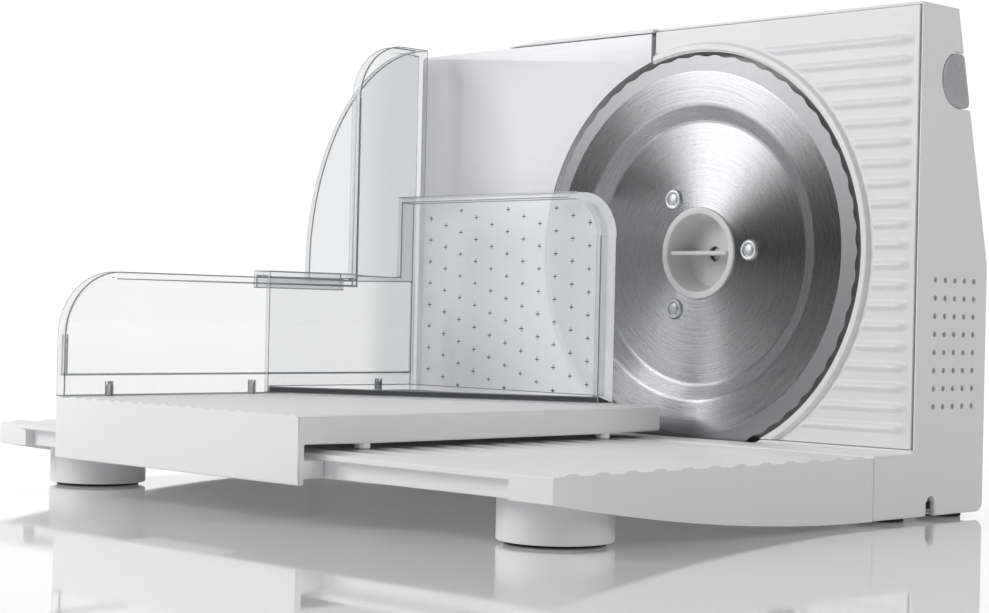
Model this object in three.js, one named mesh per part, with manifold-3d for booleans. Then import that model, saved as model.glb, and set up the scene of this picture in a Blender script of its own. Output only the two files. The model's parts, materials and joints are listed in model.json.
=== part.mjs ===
// Compact electric food slicer with a round toothed blade, a ribbed table and a sliding carriage.
// Millimetres, +Z up. X runs along the blade plane, Y away from the user, Z is the height above the worktop.
// Places are written from the blade axis, and the finished group is centred over its footprint.

import * as THREE from 'three';
import { mergeVertices } from 'three/addons/utils/BufferGeometryUtils.js';
import Module from 'manifold-3d';

const wasm = await Module();
wasm.setup();

// Fits and walls
const SEAT = 0.3; // gap between pieces that are fixed to each other
const RUN = 0.4; // gap between pieces that slide or turn on each other
const WALL = 2.6; // wall of the white mouldings
const CLEAR_WALL = 2.8; // wall of the clear mouldings
const FINE_ROUND = 96; // sides of the round bay about the blade
const ROUND = 32; // sides of a large round
const SMALL_ROUND = 16; // sides of a small round
const CURVE_STEPS = 10; // steps of a curved stretch in an outline

// Blade
const BLADE_R = 85;
const BLADE_FOOT_Z = 21; // lowest point of the cutting edge
const BLADE_SHEET = 1.2;
const TOOTH_COUNT = 52;
const TOOTH_DEPTH = 0.8;
const BEVEL_W = 7;
const BEVEL_RISE = 0.9; // inner edge of the bevel stands this far in front of the cutting edge
const DISH_W = 14.3;
const DISH_BACK = 0;
const STEP_W = 6.7;
const FLAT_BACK = 4.2; // the flat middle lies this far behind the cutting edge
const BLADE_BORE_R = 18.6;
const BLADE_GAP = 2.6; // from the cutting edge to the panel and to the stop plate

// Blade cap
const CAP_R = 19.9;
const CAP_RIM_W = 3;
const CAP_PROUD = 1.1;
const CAP_DEPTH = 12;
const CAP_TAPER = 2.5;
const CAP_BOTTOM = 1.4;
const CAP_HOLE_R = 3.25;
const GRIP_T = 1.7;

// Rivets that hold the blade on its gear
const RIVET_COUNT = 3;
const RIVET_CIRCLE_R = 27.5;
const RIVET_START = 2; // degrees
const RIVET_HEAD_R = 4.6;
const RIVET_HEAD_T = 0.8;
const RIVET_R = 2;
const RIVET_TAIL_R = 3.2;
const RIVET_TAIL_T = 1;

// Gears
const GEAR_MODULE = 1.75;
const BLADE_TEETH = 42;
const PINION_TEETH = 12;
const WHEEL_TEETH = 21;
const GEAR_W = 7;
const WHEEL_W = 9;
const PINION_ANGLE = 15; // degrees above the blade axis
const GEAR_FLANGE_T = 3.5;
const GEAR_PIN_R = 3;
const SPINDLE_R = 5;
const WORM_R = 5;
const WORM_L = 26;

// Housing
const BODY_RIGHT = 112.5;
const BODY_CROWN = 13.5; // the body's top stands this far over the cutting edge
const BODY_TOP_DEPTH = 28;
const BODY_DEPTH = 52.5;
const KNEE_Z = 104; // height where the sloping back turns upright
const BODY_BOTTOM_Z = 1.5;
const HEEL = 3; // chamfer at the lower rear edge
const RIM_SETBACK = 2.4; // lip round the front panel, behind the blade plane
const RIM_LIP = 1.1; // thickness of that lip
const LEDGE_Z = 26.6; // top of the base, level with the table
const LEDGE_DEPTH = 25; // the base reaches this far in front of the blade plane
const BASE_LEFT = -172;
const TOWER_LEFT = -60;
const SHOULDER_LEFT = -92;
const SHOULDER_DROP = 64.5; // from the top down to the shoulder's lower corner
const SHOULDER_CORNER = 14;
const LIP_LEFT = -95;
const LIP_T = 1.7;
const LIP_SLOPE = 20;

// Ribbed front panel
const PANEL_LEFT = -25;
const PANEL_BOTTOM_Z = 28.2;
const PANEL_T = 2.6;
const COLLAR_W = 4.6;
const COLLAR_RISE = 1.9;
const RIB_PITCH = 8.1;
const RIB_W = 4.8;
const RIB_H = 1.6;
const RIB_MARGIN = 3;

// Bulkhead behind the blade
const BULKHEAD_Y = 6.5;
const BULKHEAD_T = 2.5;
const POCKET_R = 42;
const POCKET_FLOOR_Y = 21;
const LOBE_R = 14.2;
const BOSS_R = 12;
const BOSS_L = 15;

// Vent holes in the right side
const VENT_COLUMNS = 5;
const VENT_ROWS = 8;
const VENT_PITCH_Y = 7;
const VENT_PITCH_Z = 7.2;
const VENT_R = 1.15;
const VENT_FRONT_Y = 14.6;
const VENT_TOP_Z = 95.2;

// Cord notch
const NOTCH_Y = 14.4;
const NOTCH_W = 5.8;
const NOTCH_Z = 9.6;
const BOTTOM_T = 2.2;

// Rear cover with its motor bulge
const COVER_FOOT_Z = 9;
const BULGE_LEFT = 20;
const BULGE_RIGHT = 99.5;
const BULGE_BOTTOM_Z = 16;
const BULGE_TOP_Z = 138;
const BULGE_DEPTH = 13.5;
const BULGE_CORNER = 10;
const PIN_BOSS_R = 6.5;
const PIN_BOSS_L = 24;
const SLOT_COUNT = 7;
const SLOT_W = 3;
const SLOT_L = 44;
const SLOT_PITCH = 8;
const SLOT_Z = 60;

// Fasteners
const SCREW_R = 1.6;
const SCREW_HEAD_R = 3.2;
const SCREW_HEAD_T = 1.4;
const SCREW_EDGE = 12; // from the edges of the cover
const SCREW_L = 9;
const WALL_SCREW_HEAD_R = 2.4;
const WALL_SCREW_INSET = 3.4; // from the left edge of the deck
const WALL_SCREW_POST = 4; // from the deck's lower edge up to the screw seat

// Feet
const FOOT_R = 20.5;
const FOOT_INSET_Y = 33;
const FOOT_INSET_RIGHT = 29.5;
const FOOT_INSET_LEFT = 26.1;
const FOOT_LIFT = 1; // the moulded foot ends this far above the worktop
const PAD_T = 3;
const RUBBER_R = 9;
const RUBBER_INSET_X = 11.5;
const RUBBER_FRONT_Y = -3;
const RUBBER_REAR_INSET = 14.5;

// Table
const TABLE_LEFT = -217.6;
const TABLE_FRONT_Y = -204;
const TABLE_EDGE_Z = 17; // lower edge of the front apron
const TABLE_RIB_PITCH = 14.6;
const TABLE_RIB_W = 8;
const TABLE_RIB_H = 0.8;
const TABLE_RIB_MARGIN = 9;
const TABLE_END_W = 20; // full-depth blocks at both ends of the front apron
const TABLE_LIP_T = 2;
const TRACK_DEPTH = 3.8; // how far the apron sits back under the lip between the end blocks

// Carriage
const DECK_LEFT = -162;
const DECK_RIGHT = -5;
const DECK_OVERHANG = 8.5; // in front of the table
const DECK_REAR_Y = -13.5;
const DECK_Z = 40;
const DECK_EDGE_T = 10.7;
const SKIRT_Z = 14.6;
const DECK_RIB_PITCH = 7.8;
const DECK_RIB_W = 5;
const DECK_RIB_H = 0.6;
const DECK_RIB_MARGIN = 4;
const HOOK_LEFT = -115;
const HOOK_RIGHT = -55;
const HOOK_T = 2;
const HOOK_RISE = 5;
const GLIDE_R = 3;
const GLIDE_INSET = 33;
const WALL_RIM = 6; // thickness of the clear wall's rim, across the deck
const LOW_WALL_Z = 92;
const ARCH_Z = 203.5;
const ARCH_FRONT_Y = -55;
const ARCH_R = 27;
const GUARD_REACH = 79;
const GUARD_T = 3;

// Food holder
const HOLDER_FRONT_Y = -30;
const HOLDER_DEPTH = 10;
const HOLDER_RIGHT = -26;
const HOLDER_Z = 132;
const HOLDER_CORNER_R = 20;
const WING_FRONT_Y = -108.5;
const WING_Z = 94;
const LATCH_T = 2.4;
const LATCH_LIP = 5;
const SPIKE_PITCH = 10.15; // each column sits a third of this lower than the one to its left
const SPIKE_L = 3;
const SPIKE_R = 1.1;
const SPIKE_MARGIN_X = 12.4;
const SPIKE_MARGIN_Z = 3.8;

// Stop plate
const STOP_LEFT = -173;
const STOP_TOP_GAP = 0.5; // under the lip of the housing
const STOP_BOTTOM_GAP = 1.4; // above the base
const STOP_SHEET = 0.8;
const STOP_CARRIER_T = 6;
const STOP_TRAVEL = 15;
const STOP_SEAM = 0.8; // between the plate and the front panel
const ARM_T = 7.5;
const ARM_Y = 4.5;
const ARM_Z = 9;
const ARM_H = 12;
const HEEL_H = 14;
const FOOT_WEB_LEFT = -168;
const FOOT_WEB_RIGHT = -98;
const ROD_R = 3;
const ROD_Z = 15;
const ROD_LEFT_X = -150;
const ROD_RIGHT_X = -114;

// Thickness dial
const DIAL_X = -14;
const DIAL_Z = 26;
const DIAL_R = 20;
const DIAL_T = 16;
const DIAL_SCALLOPS = 12;
const DIAL_SCALLOP_R = 3;
const DIAL_SHAFT_R = 4;
const DIAL_NUT_R = 9;
const DIAL_NUT_L = 10.5;

// Push button and switch
const BUTTON_Y = 27.3;
const BUTTON_DROP = 28.9; // from the top down to its middle
const BUTTON_R = 10.8;
const BUTTON_PROUD = 0.8;
const BUTTON_T = 4.8;
const BUTTON_TRAVEL = 3;
const PLUNGER_R = 5;
const PLUNGER_Y = 21;
const PLUNGER_L = 9;
const SPRING_GAP = 7;
const SPRING_R = 3.4;
const SPRING_WIRE_R = 0.45;
const SPRING_TURNS = 5;
const SWITCH_SIZE = [12, 18.5, 19];

// Motor
const MOTOR_Y = 30;
const STATOR_W = 54;
const STATOR_D = 38;
const MOTOR_DROP = 84; // from the blade axis down to the motor's lower bracket
const STATOR_RISE = 22; // this and the next rises are from that bracket up
const STATOR_H = 32;
const STATOR_BORE_R = 15.3;
const AIR_GAP = 0.6;
const ARMATURE_SLOTS = 12;
const SHAFT_R = 3;
const COIL_IN = 17;
const COIL_T = 6;
const COIL_HALF = 12;
const COIL_W = 5;
const BRACKET_T = 3;
const BRACKET_D = 18;
const BRACKET_RISE = 63;
const BUSH_R = 6;
const BUSH_L = 6;
const COMMUTATOR_R = 8;
const COMMUTATOR_L = 9;
const COMMUTATOR_RISE = 5.4;
const FAN_R = 17;
const FAN_H = 6;
const FAN_BLADES = 9;
const FAN_RISE = 70;
const TOP_BEARING_RISE = 112;
const TOP_BEARING_H = 7;
const BRUSH_L = 13;
const BRUSH_W = 8;

// Colours and finishes
const finish = (color, roughness, metalness = 0, opacity = 1) =>
  new THREE.MeshStandardMaterial({ color, roughness, metalness, opacity, transparent: opacity < 1 });
const whitePlastic = finish(0xe9e9e9, 0.42);
const clearPlastic = finish(0xeef2f5, 0.08, 0, 0.3);
const greyPlastic = finish(0xbcbcbc, 0.45);
const buttonPlastic = finish(0xa0a0a4, 0.4);
const gearPlastic = finish(0xe4ddc8, 0.5);
const darkPlastic = finish(0x2b2b2d, 0.55);
const brushedSteel = finish(0xcfcfcf, 0.3, 1);
const plainSteel = finish(0xb4b4b4, 0.35, 1);
const lamination = finish(0x6c6c70, 0.5, 1);
const copper = finish(0xb56a3a, 0.35, 1);
const bronze = finish(0xa07a44, 0.4, 1);
const rubber = finish(0x2e2e2e, 0.85);

/** A closed geometry as a solid that can be joined and cut. */
function solid(geometry) {
  const bare = geometry.clone();
  bare.deleteAttribute('normal');
  bare.deleteAttribute('uv');
  const merged = mergeVertices(bare, 1e-4);
  const corners = merged.index.array;
  const kept = [];
  for (let i = 0; i < corners.length; i += 3) {
    const [a, b, c] = [corners[i], corners[i + 1], corners[i + 2]];
    if (a !== b && b !== c && c !== a) kept.push(a, b, c);
  }
  return new wasm.Manifold(new wasm.Mesh({
    numProp: 3,
    vertProperties: new Float32Array(merged.attributes.position.array),
    triVerts: new Uint32Array(kept),
  }));
}

/** The surface of a solid, as a geometry. */
function surface(body) {
  const mesh = body.getMesh();
  const geometry = new THREE.BufferGeometry();
  geometry.setAttribute('position', new THREE.BufferAttribute(new Float32Array(mesh.vertProperties), 3));
  geometry.setIndex(new THREE.BufferAttribute(new Uint32Array(mesh.triVerts), 1));
  geometry.computeVertexNormals();
  return geometry;
}

const join = (...bodies) => bodies.reduce((whole, body) => whole.add(body));
const cut = (body, ...tools) => tools.reduce((rest, tool) => rest.subtract(tool), body);

/** A block between two values on each axis. */
function block([x0, x1], [y0, y1], [z0, z1]) {
  const geometry = new THREE.BoxGeometry(x1 - x0, y1 - y0, z1 - z0);
  return solid(geometry.translate((x0 + x1) / 2, (y0 + y1) / 2, (z0 + z1) / 2));
}

/** A flat outline given as [u, v] corners. */
const outline = (corners) => new THREE.Shape(corners.map(([u, v]) => new THREE.Vector2(u, v)));

/** A rectangle with round corners. */
function roundedRectangle([u0, u1], [v0, v1], radius) {
  const shape = new THREE.Shape();
  shape.moveTo(u0 + radius, v0);
  shape.lineTo(u1 - radius, v0);
  shape.absarc(u1 - radius, v0 + radius, radius, -Math.PI / 2, 0);
  shape.absarc(u1 - radius, v1 - radius, radius, 0, Math.PI / 2);
  shape.absarc(u0 + radius, v1 - radius, radius, Math.PI / 2, Math.PI);
  shape.absarc(u0 + radius, v0 + radius, radius, Math.PI, 1.5 * Math.PI);
  return shape;
}

/** A small round section for wire and thread. */
const roundSection = (radius) => outline([0, 1, 2, 3, 4].map((side) =>
  [radius * Math.cos(side * 0.4 * Math.PI), radius * Math.sin(side * 0.4 * Math.PI)]));

const extruded = (shape, depth) =>
  new THREE.ExtrudeGeometry(shape, { depth, bevelEnabled: false, curveSegments: CURVE_STEPS });

/** An outline in X and Z carried along Y. */
const alongY = (shape, [y0, y1]) =>
  solid(extruded(shape, y1 - y0).rotateX(Math.PI / 2).translate(0, y1, 0));

/** An outline in Y and Z carried along X. */
const alongX = (shape, [x0, x1]) =>
  solid(extruded(shape, x1 - x0).rotateX(Math.PI / 2).rotateZ(Math.PI / 2).translate(x0, 0, 0));

/** An outline in X and Y carried along Z. */
const alongZ = (shape, [z0, z1]) => solid(extruded(shape, z1 - z0).translate(0, 0, z0));

/** Round bars along each axis, at the two other coordinates. */
const barY = (radius, [y0, y1], x, z, sides = SMALL_ROUND) =>
  solid(new THREE.CylinderGeometry(radius, radius, y1 - y0, sides).translate(x, (y0 + y1) / 2, z));
const barX = (radius, [x0, x1], y, z, sides = SMALL_ROUND) =>
  solid(new THREE.CylinderGeometry(radius, radius, x1 - x0, sides)
    .rotateZ(Math.PI / 2).translate((x0 + x1) / 2, y, z));
const barZ = (radius, [z0, z1], x, y, sides = SMALL_ROUND) =>
  solid(new THREE.CylinderGeometry(radius, radius, z1 - z0, sides)
    .rotateX(Math.PI / 2).translate(x, y, (z0 + z1) / 2));

/** A turned piece on a Y axis: [radius, y] corners, outer side first with y rising. */
const turned = (corners, x, z, sides = ROUND) =>
  solid(new THREE.LatheGeometry(corners.map(([r, y]) => new THREE.Vector2(r, y)), sides).translate(x, 0, z));

/** The outline of a spur gear with straight-sided teeth, one of them centred on the start angle. */
function gearOutline(teeth, start, [u, v]) {
  const pitchR = teeth * GEAR_MODULE / 2;
  const tipR = pitchR + 0.8 * GEAR_MODULE;
  const rootR = pitchR - 1.1 * GEAR_MODULE;
  const step = 2 * Math.PI / teeth;
  const corners = [];
  for (let tooth = 0; tooth < teeth; tooth += 1) {
    const middle = start + tooth * step;
    for (const [radius, turn] of [[rootR, -0.29], [tipR, -0.12], [tipR, 0.12], [rootR, 0.29]]) {
      const angle = middle + turn * step;
      corners.push([u + radius * Math.cos(angle), v + radius * Math.sin(angle)]);
    }
  }
  return outline(corners);
}

const slicer = new THREE.Group();

/** Adds one named piece. */
function piece(name, body, material) {
  const mesh = new THREE.Mesh(surface(body), material);
  mesh.name = name;
  slicer.add(mesh);
}

const radians = (degrees) => degrees * Math.PI / 180;
const rising = (a, b) => [Math.min(a, b), Math.max(a, b)];

// Heights that follow the blade
const bladeAxisZ = BLADE_R + BLADE_FOOT_Z;
const bodyTopZ = bladeAxisZ + BLADE_R + BODY_CROWN;
const bracketLowZ = bladeAxisZ - MOTOR_DROP;
const statorZ = bracketLowZ + STATOR_RISE;
const bracketHighZ = bracketLowZ + BRACKET_RISE;
const commutatorZ = bracketLowZ + COMMUTATOR_RISE;
const fanZ = bracketLowZ + FAN_RISE;
const topBearingZ = bracketLowZ + TOP_BEARING_RISE;

// Lean of the housing's back, and its depth at a height
const backSlope = (BODY_DEPTH - BODY_TOP_DEPTH) / (bodyTopZ - KNEE_Z);
const backY = (z) => BODY_DEPTH - Math.max(0, z - KNEE_Z) * backSlope;

// Places that follow from the driving dimensions
const bladeOpeningR = BLADE_R + BLADE_GAP;
const bladeBackY = FLAT_BACK + BLADE_SHEET;
const gearFrontY = bladeBackY + SEAT;
const rimY = gearFrontY + GEAR_FLANGE_T;
const capFrontY = FLAT_BACK - CAP_PROUD;
const capBottomY = capFrontY + CAP_DEPTH;
const capEndY = capBottomY + CAP_BOTTOM;
const gearFloorY = capEndY + SEAT;
const bulkheadBackY = BULKHEAD_Y + BULKHEAD_T;
const pocketEndY = POCKET_FLOOR_Y + BULKHEAD_T;
const gearDistance = (BLADE_TEETH + PINION_TEETH) * GEAR_MODULE / 2;
const pinionX = gearDistance * Math.cos(radians(PINION_ANGLE));
const pinionZ = bladeAxisZ + gearDistance * Math.sin(radians(PINION_ANGLE));
const wheelTipR = WHEEL_TEETH * GEAR_MODULE / 2 + 0.8 * GEAR_MODULE;
const motorX = pinionX + wheelTipR + WORM_R + SEAT;
const wheelY = [MOTOR_Y - WHEEL_W / 2, MOTOR_Y + WHEEL_W / 2];
const innerRight = BODY_RIGHT - WALL;
const innerTopZ = bodyTopZ - WALL;
const shoulderFootZ = bodyTopZ - SHOULDER_DROP;
const buttonZ = bodyTopZ - BUTTON_DROP;
const deckFrontY = TABLE_FRONT_Y - DECK_OVERHANG;
const tableFaceZ = LEDGE_Z - TABLE_RIB_H;
const trackY = TABLE_FRONT_Y + TRACK_DEPTH;
const trackTopZ = tableFaceZ - TABLE_LIP_T;
const footY = TABLE_FRONT_Y + FOOT_INSET_Y;
const footRightX = BODY_RIGHT - FOOT_INSET_RIGHT;
const footLeftX = TABLE_LEFT + FOOT_INSET_LEFT;
const bulgeRearY = BODY_DEPTH + BULGE_DEPTH;
const rubberRearY = BODY_DEPTH - RUBBER_REAR_INSET;
const baseRoofZ = LEDGE_Z - WALL;
const stopTopZ = bodyTopZ - LIP_T - STOP_TOP_GAP;
const stopBottomZ = LEDGE_Z + STOP_BOTTOM_GAP;
const stopRight = PANEL_LEFT - STOP_SEAM;
const stopR = bladeOpeningR;
const stopBackY = STOP_SHEET + SEAT + STOP_CARRIER_T;
const towerFrontY = stopBackY + STOP_TRAVEL + RUN;
const dialFrontY = BODY_DEPTH + RUN;
const dialEndY = dialFrontY + DIAL_T;

// Side outline of the housing, and the outline of its base alone
const towerSide = outline([
  [-LEDGE_DEPTH, BODY_BOTTOM_Z], [BODY_DEPTH - HEEL, BODY_BOTTOM_Z], [BODY_DEPTH, BODY_BOTTOM_Z + HEEL],
  [BODY_DEPTH, KNEE_Z], [BODY_TOP_DEPTH, bodyTopZ], [0, bodyTopZ], [0, LEDGE_Z], [-LEDGE_DEPTH, LEDGE_Z],
]);
const baseSide = outline([
  [-LEDGE_DEPTH, BODY_BOTTOM_Z], [BODY_DEPTH - HEEL, BODY_BOTTOM_Z], [BODY_DEPTH, BODY_BOTTOM_Z + HEEL],
  [BODY_DEPTH, LEDGE_Z], [-LEDGE_DEPTH, LEDGE_Z],
]);

/** The shoulder behind the stop plate, grown or shrunk by an inset. */
function shoulderOutline(inset, right) {
  const left = SHOULDER_LEFT + inset;
  const top = bodyTopZ - inset;
  const slant = 0.8 * inset;
  return outline([
    [right, shoulderFootZ + slant], [TOWER_LEFT, shoulderFootZ + slant],
    [left, shoulderFootZ + TOWER_LEFT - SHOULDER_LEFT + slant],
    [left, top - SHOULDER_CORNER], [left + SHOULDER_CORNER, top], [right, top],
  ]);
}

/** The push button's outline on the right side: round in front, open to the rear edge. */
function buttonOutline(gap, rearGap) {
  const radius = BUTTON_R + gap;
  const lowRear = backY(buttonZ - radius) - rearGap;
  const highRear = backY(buttonZ + radius) - rearGap;
  const shape = new THREE.Shape();
  shape.moveTo(lowRear, buttonZ - radius);
  shape.lineTo(highRear, buttonZ + radius);
  shape.lineTo(BUTTON_Y, buttonZ + radius);
  shape.absarc(BUTTON_Y, buttonZ, radius, Math.PI / 2, 1.5 * Math.PI);
  return shape;
}

function housingShell() {
  const deep = BODY_DEPTH + 30;
  const tower = alongX(towerSide, [TOWER_LEFT, BODY_RIGHT]);
  const base = alongX(baseSide, [BASE_LEFT, TOWER_LEFT + WALL]);
  const slopeLimit = alongX(towerSide, [SHOULDER_LEFT - 1, TOWER_LEFT + WALL]);
  const shoulder = alongY(shoulderOutline(0, TOWER_LEFT + WALL), [towerFrontY, deep]).intersect(slopeLimit);
  const lip = alongY(outline([
    [LIP_LEFT - LIP_SLOPE, bodyTopZ - LIP_T], [TOWER_LEFT + WALL, bodyTopZ - LIP_T],
    [TOWER_LEFT + WALL, bodyTopZ], [LIP_LEFT, bodyTopZ],
  ]), [0, BODY_TOP_DEPTH]);
  const stopRoom = block([BASE_LEFT, PANEL_LEFT], [-1, towerFrontY], [LEDGE_Z, bodyTopZ - LIP_T]);
  const panelRoom = block([PANEL_LEFT - 1, innerRight], [-1, bulkheadBackY + 1],
    [PANEL_BOTTOM_Z - SEAT, innerTopZ]);
  const rebate = block([PANEL_LEFT - 1, BODY_RIGHT - RIM_LIP], [-1, RIB_H + PANEL_T + SEAT],
    [PANEL_BOTTOM_Z - SEAT, bodyTopZ - RIM_LIP]);
  const rim = block([PANEL_LEFT, BODY_RIGHT + 1], [-1, RIM_SETBACK], [PANEL_BOTTOM_Z - SEAT, bodyTopZ + 1]);
  const mainRoom = block([PANEL_LEFT - WALL, innerRight], [bulkheadBackY, deep], [baseRoofZ - 1, innerTopZ]);
  const leftRoom = block([TOWER_LEFT + WALL, PANEL_LEFT + 1], [towerFrontY + WALL, deep],
    [baseRoofZ - 1, innerTopZ]);
  const shoulderRoom = alongY(shoulderOutline(WALL, TOWER_LEFT + WALL + 1), [towerFrontY + WALL, deep]);
  const baseRoom = block([BASE_LEFT + WALL, innerRight], [WALL - LEDGE_DEPTH, BODY_DEPTH - WALL],
    [-1, baseRoofZ]);
  const rearDoor = block([TOWER_LEFT + WALL, innerRight], [BODY_DEPTH - 2 * WALL, deep],
    [COVER_FOOT_Z - SEAT, baseRoofZ + 1]);
  const webSlot = block([FOOT_WEB_LEFT - 1, FOOT_WEB_RIGHT + 1],
    [ARM_Y - 2 - RUN, ARM_Y + ARM_T + STOP_TRAVEL + 1], [baseRoofZ - 1, LEDGE_Z + 1]);
  const nutRoom = block([DIAL_X - DIAL_NUT_R - RUN, DIAL_X + DIAL_NUT_R + RUN],
    [ARM_Y - RUN, ARM_Y + DIAL_NUT_L + STOP_TRAVEL + RUN], [baseRoofZ - 1, DIAL_Z + DIAL_NUT_R + RUN]);
  const bladeRoom = barY(bladeOpeningR, [-BEVEL_RISE - 1, bulkheadBackY + 0.5], 0, bladeAxisZ, ROUND);
  const pocketRoom = barY(POCKET_R + BULKHEAD_T + 1, [POCKET_FLOOR_Y - 1, towerFrontY + WALL + 1],
    0, bladeAxisZ, ROUND);
  const notch = join(
    block([innerRight - 1, BODY_RIGHT + 1], [NOTCH_Y - NOTCH_W / 2, NOTCH_Y + NOTCH_W / 2],
      [0, NOTCH_Z - NOTCH_W / 2]),
    barX(NOTCH_W / 2, [innerRight - 1, BODY_RIGHT + 1], NOTCH_Y, NOTCH_Z - NOTCH_W / 2, 12),
  );
  const buttonRoom = alongX(buttonOutline(RUN, -10), [innerRight - 1, BODY_RIGHT + 1]);
  const vents = [];
  for (let column = 0; column < VENT_COLUMNS; column += 1) {
    for (let row = 0; row < VENT_ROWS; row += 1) {
      vents.push(barX(VENT_R, [innerRight - 1, BODY_RIGHT + 1],
        VENT_FRONT_Y + column * VENT_PITCH_Y, VENT_TOP_Z - row * VENT_PITCH_Z, 5));
    }
  }
  const hollow = cut(join(tower, base, shoulder, lip), stopRoom, panelRoom, rebate, rim, mainRoom, leftRoom,
    shoulderRoom, baseRoom, rearDoor, webSlot, nutRoom, bladeRoom, pocketRoom, notch, buttonRoom, ...vents);
  const railY = [bulkheadBackY + SEAT, bulkheadBackY + SEAT + WALL];
  const rail = block([innerRight - 5, innerRight + 1], railY, [LEDGE_Z, innerTopZ + 1]);
  return join(hollow, rail);
}

function frontPanel() {
  const right = BODY_RIGHT - RIM_LIP - SEAT;
  const top = bodyTopZ - RIM_LIP - SEAT;
  const faceY = RIB_H;
  const sheet = block([PANEL_LEFT + SEAT, right], [faceY, faceY + PANEL_T], [PANEL_BOTTOM_Z, top]);
  const collarR = bladeOpeningR + COLLAR_W;
  const frame = block([PANEL_LEFT + SEAT, right], [-10, 10], [PANEL_BOTTOM_Z, top]);
  const collar = barY(collarR, [faceY - COLLAR_RISE, faceY + 1], 0, bladeAxisZ, FINE_ROUND)
    .intersect(frame);
  const ribs = [];
  const ribCount = Math.floor((top - PANEL_BOTTOM_Z - RIB_PITCH) / RIB_PITCH) + 1;
  for (let rib = 0; rib < ribCount; rib += 1) {
    const z = PANEL_BOTTOM_Z + (rib + 0.75) * RIB_PITCH;
    const rise = Math.abs(z - bladeAxisZ);
    const atCollar = Math.sqrt(Math.max(0, collarR ** 2 - rise ** 2)) + RIB_MARGIN;
    const left = rise < collarR ? atCollar : PANEL_LEFT + 2 * RIB_MARGIN;
    const section = outline([
      [faceY + 1, z - RIB_W / 2], [faceY + 1, z + RIB_W / 2], [faceY, z + RIB_W / 2],
      [0, z + RIB_W / 5], [0, z - RIB_W / 5], [faceY, z - RIB_W / 2],
    ]);
    ribs.push(alongX(section, [left, right - RIB_MARGIN]));
  }
  const hole = barY(bladeOpeningR, [-10, 20], 0, bladeAxisZ, FINE_ROUND);
  return cut(join(sheet, collar, ...ribs), hole);
}

function bulkhead() {
  const discR = BLADE_R + 1;
  const chordLeft = TOWER_LEFT + WALL + 1.4;
  const wallY = [BULKHEAD_Y, towerFrontY - SEAT];
  const plateY = [BULKHEAD_Y, bulkheadBackY];
  const plate = block([PANEL_LEFT + SEAT, innerRight - SEAT], plateY,
    [PANEL_BOTTOM_Z + SEAT, innerTopZ - SEAT]);
  const leftHalf = block([chordLeft, 0], [0, 100], [0, bodyTopZ]);
  const disc = barY(discR, plateY, 0, bladeAxisZ, ROUND);
  const leftDisc = disc.intersect(leftHalf);
  const skirt = cut(barY(discR, wallY, 0, bladeAxisZ, ROUND),
    barY(discR - WALL, [0, 100], 0, bladeAxisZ, ROUND))
    .intersect(block([chordLeft, PANEL_LEFT - 1], [0, 100], [LEDGE_Z + SEAT, bodyTopZ]));
  const chord = block([chordLeft, chordLeft + WALL], wallY, [0, bodyTopZ])
    .intersect(barY(discR, [0, 100], 0, bladeAxisZ, ROUND));
  const pocketOuter = barY(POCKET_R + BULKHEAD_T, [BULKHEAD_Y, pocketEndY], 0, bladeAxisZ, ROUND);
  const lobeOuter = barY(LOBE_R + BULKHEAD_T, [BULKHEAD_Y, pocketEndY], pinionX, pinionZ);
  const boss = barY(BOSS_R, [POCKET_FLOOR_Y, pocketEndY + BOSS_L], 0, bladeAxisZ);
  const pads = [0.15, 0.7].map((share) => block([motorX - STATOR_W / 3, motorX + STATOR_W / 3],
    [bulkheadBackY - 1, MOTOR_Y - STATOR_D / 2 - SEAT],
    [statorZ + share * STATOR_H, statorZ + share * STATOR_H + WALL * 2]));
  const pocketInner = barY(POCKET_R, [0, POCKET_FLOOR_Y], 0, bladeAxisZ, ROUND);
  const lobeInner = barY(LOBE_R, [bulkheadBackY, 100], pinionX, pinionZ);
  const spindleBore = barY(SPINDLE_R + SEAT, [0, 100], 0, bladeAxisZ);
  const dialRoom = block([DIAL_X - DIAL_NUT_R - 1, DIAL_X + DIAL_NUT_R + 1], [0, 100],
    [0, DIAL_Z + DIAL_NUT_R + 1]);
  return cut(join(plate, leftDisc, skirt, chord, pocketOuter, lobeOuter, boss, ...pads),
    pocketInner, lobeInner, spindleBore, dialRoom);
}

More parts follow.
